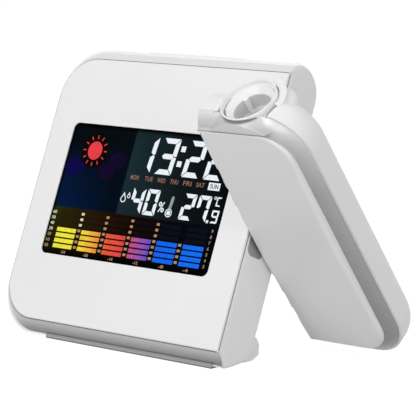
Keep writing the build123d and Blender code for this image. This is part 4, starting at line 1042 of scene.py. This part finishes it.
grown("chart_dots_last", bars_on_grid, dots, (22.2, 25.87))

# %% [markdown]
# ## A small studio
# The clock stands on a wide white floor. One bright enough to look white would throw light up under
# the clock. So the floor and the world are white only to the camera, in reflections and through
# clear parts, and the floor still takes a faint shadow.

# %% Floor and world
FLOOR_REACH = 3.0
WHITE = (1, 1, 1, 1)


def looked_at(net):
    """1 for rays from the camera, from a reflection or through a clear part, else 0."""
    rays = net.add("ShaderNodeLightPath").outputs
    seen = net.maths("MAXIMUM", rays["Is Camera Ray"], rays["Is Glossy Ray"])
    return net.maths("MAXIMUM", seen, rays["Is Transmission Ray"])


data = bpy.data.meshes.new("floor")
data.from_pydata([(x * FLOOR_REACH, y * FLOOR_REACH, 0)
                  for x, y in ((-1, -1), (1, -1), (1, 1), (-1, 1))], [], [(0, 1, 2, 3)])
floor = in_scene("floor", data)
net, place = new_material("floor white")
paper = net.spread(net.noise(place, 30.0), 0.4, 0.6)
shade = net.add("ShaderNodeBsdfDiffuse", {"Color": net.mix(paper, srgb("bebebe"), srgb("b8b8b8"))})
pale = net.add("ShaderNodeBsdfDiffuse", {"Color": srgb("a0a0a0")})
glow = net.add("ShaderNodeEmission", {"Color": WHITE, "Strength": 0.9})
both = net.add("ShaderNodeAddShader", {0: pale.outputs[0], 1: glow.outputs[0]})
wear_finish(floor, finished(net, net.add("ShaderNodeMixShader", {
    0: looked_at(net), 1: shade.outputs[0], 2: both.outputs[0]})))

world = bpy.data.worlds.new("white room")
bpy.context.scene.world = world
world.use_nodes = True
world.node_tree.nodes.clear()
room = Network(world.node_tree)
plain = room.add("ShaderNodeBackground", {"Color": WHITE, "Strength": 0.32})
white = room.add("ShaderNodeBackground", {"Color": WHITE, "Strength": 1.0})
sky = room.add("ShaderNodeMixShader", {0: looked_at(room), 1: plain.outputs[0],
                                       2: white.outputs[0]})
room.add("ShaderNodeOutputWorld", {"Surface": sky.outputs[0]})
print("floor", 2 * FLOOR_REACH, "m wide")

# %% [markdown]
# ## Lamps
# Four large lamps give the soft light of a studio: the larger a lamp, the softer its shadow. A
# fifth, small one stands low in front and puts the glint on the arm's silver edge.

# %% Lamps
CENTRE = (0.017, 0.01, 0.045)
LAMPS = (  # name, place, target, power in watts, size
    ("key lamp", (-0.35, -0.75, 0.75), CENTRE, 3.6, (0.7, 0.7)),
    ("fill lamp", (0.9, -0.25, 0.35), CENTRE, 2.8, (0.6, 0.6)),
    ("top lamp", (0.1, 0.2, 1.0), CENTRE, 1.5, (0.9, 0.6)),
    ("low lamp", (0.3, -0.9, 0.1), CENTRE, 1.0, (0.5, 0.2)),
    ("glint lamp", (-0.09, -0.9, 0.26), (0.076, -0.015, 0.08), 0.9, (0.12, 0.12)),
)
for name, place, target, power, size in LAMPS:
    data = bpy.data.lights.new(name, "AREA")
    data.energy = power
    data.shape = "RECTANGLE"
    data.size, data.size_y = size
    obj = in_scene(name, data)
    obj.location = place
    aim = Vector(target) - Vector(place)
    obj.rotation_euler = aim.to_track_quat("-Z", "Y").to_euler()
print("lamps:", len(bpy.data.lights))

# %% [markdown]
# ## Camera
# The camera stands to the right of the clock and a little above it. A near camera would make the
# casing's edges run together, so it stands back and looks with a long lens.

# %% Camera
camera_data = bpy.data.cameras.new("camera")
camera_data.lens = 195.13
camera_data.sensor_width = 36.0
camera_data.sensor_fit = "HORIZONTAL"
camera_data.clip_end = 20.0
camera = in_scene("camera", camera_data)
camera.location = (0.5000, -0.5256, 0.1517)
camera.rotation_euler = Vector((-0.6531, 0.7434, -0.1442)).to_track_quat("-Z", "Y").to_euler()
bpy.context.scene.camera = camera
bpy.context.scene.view_settings.view_transform = "Standard"
print("camera at", [round(v * 1000) for v in camera.location], "mm, lens", camera_data.lens)
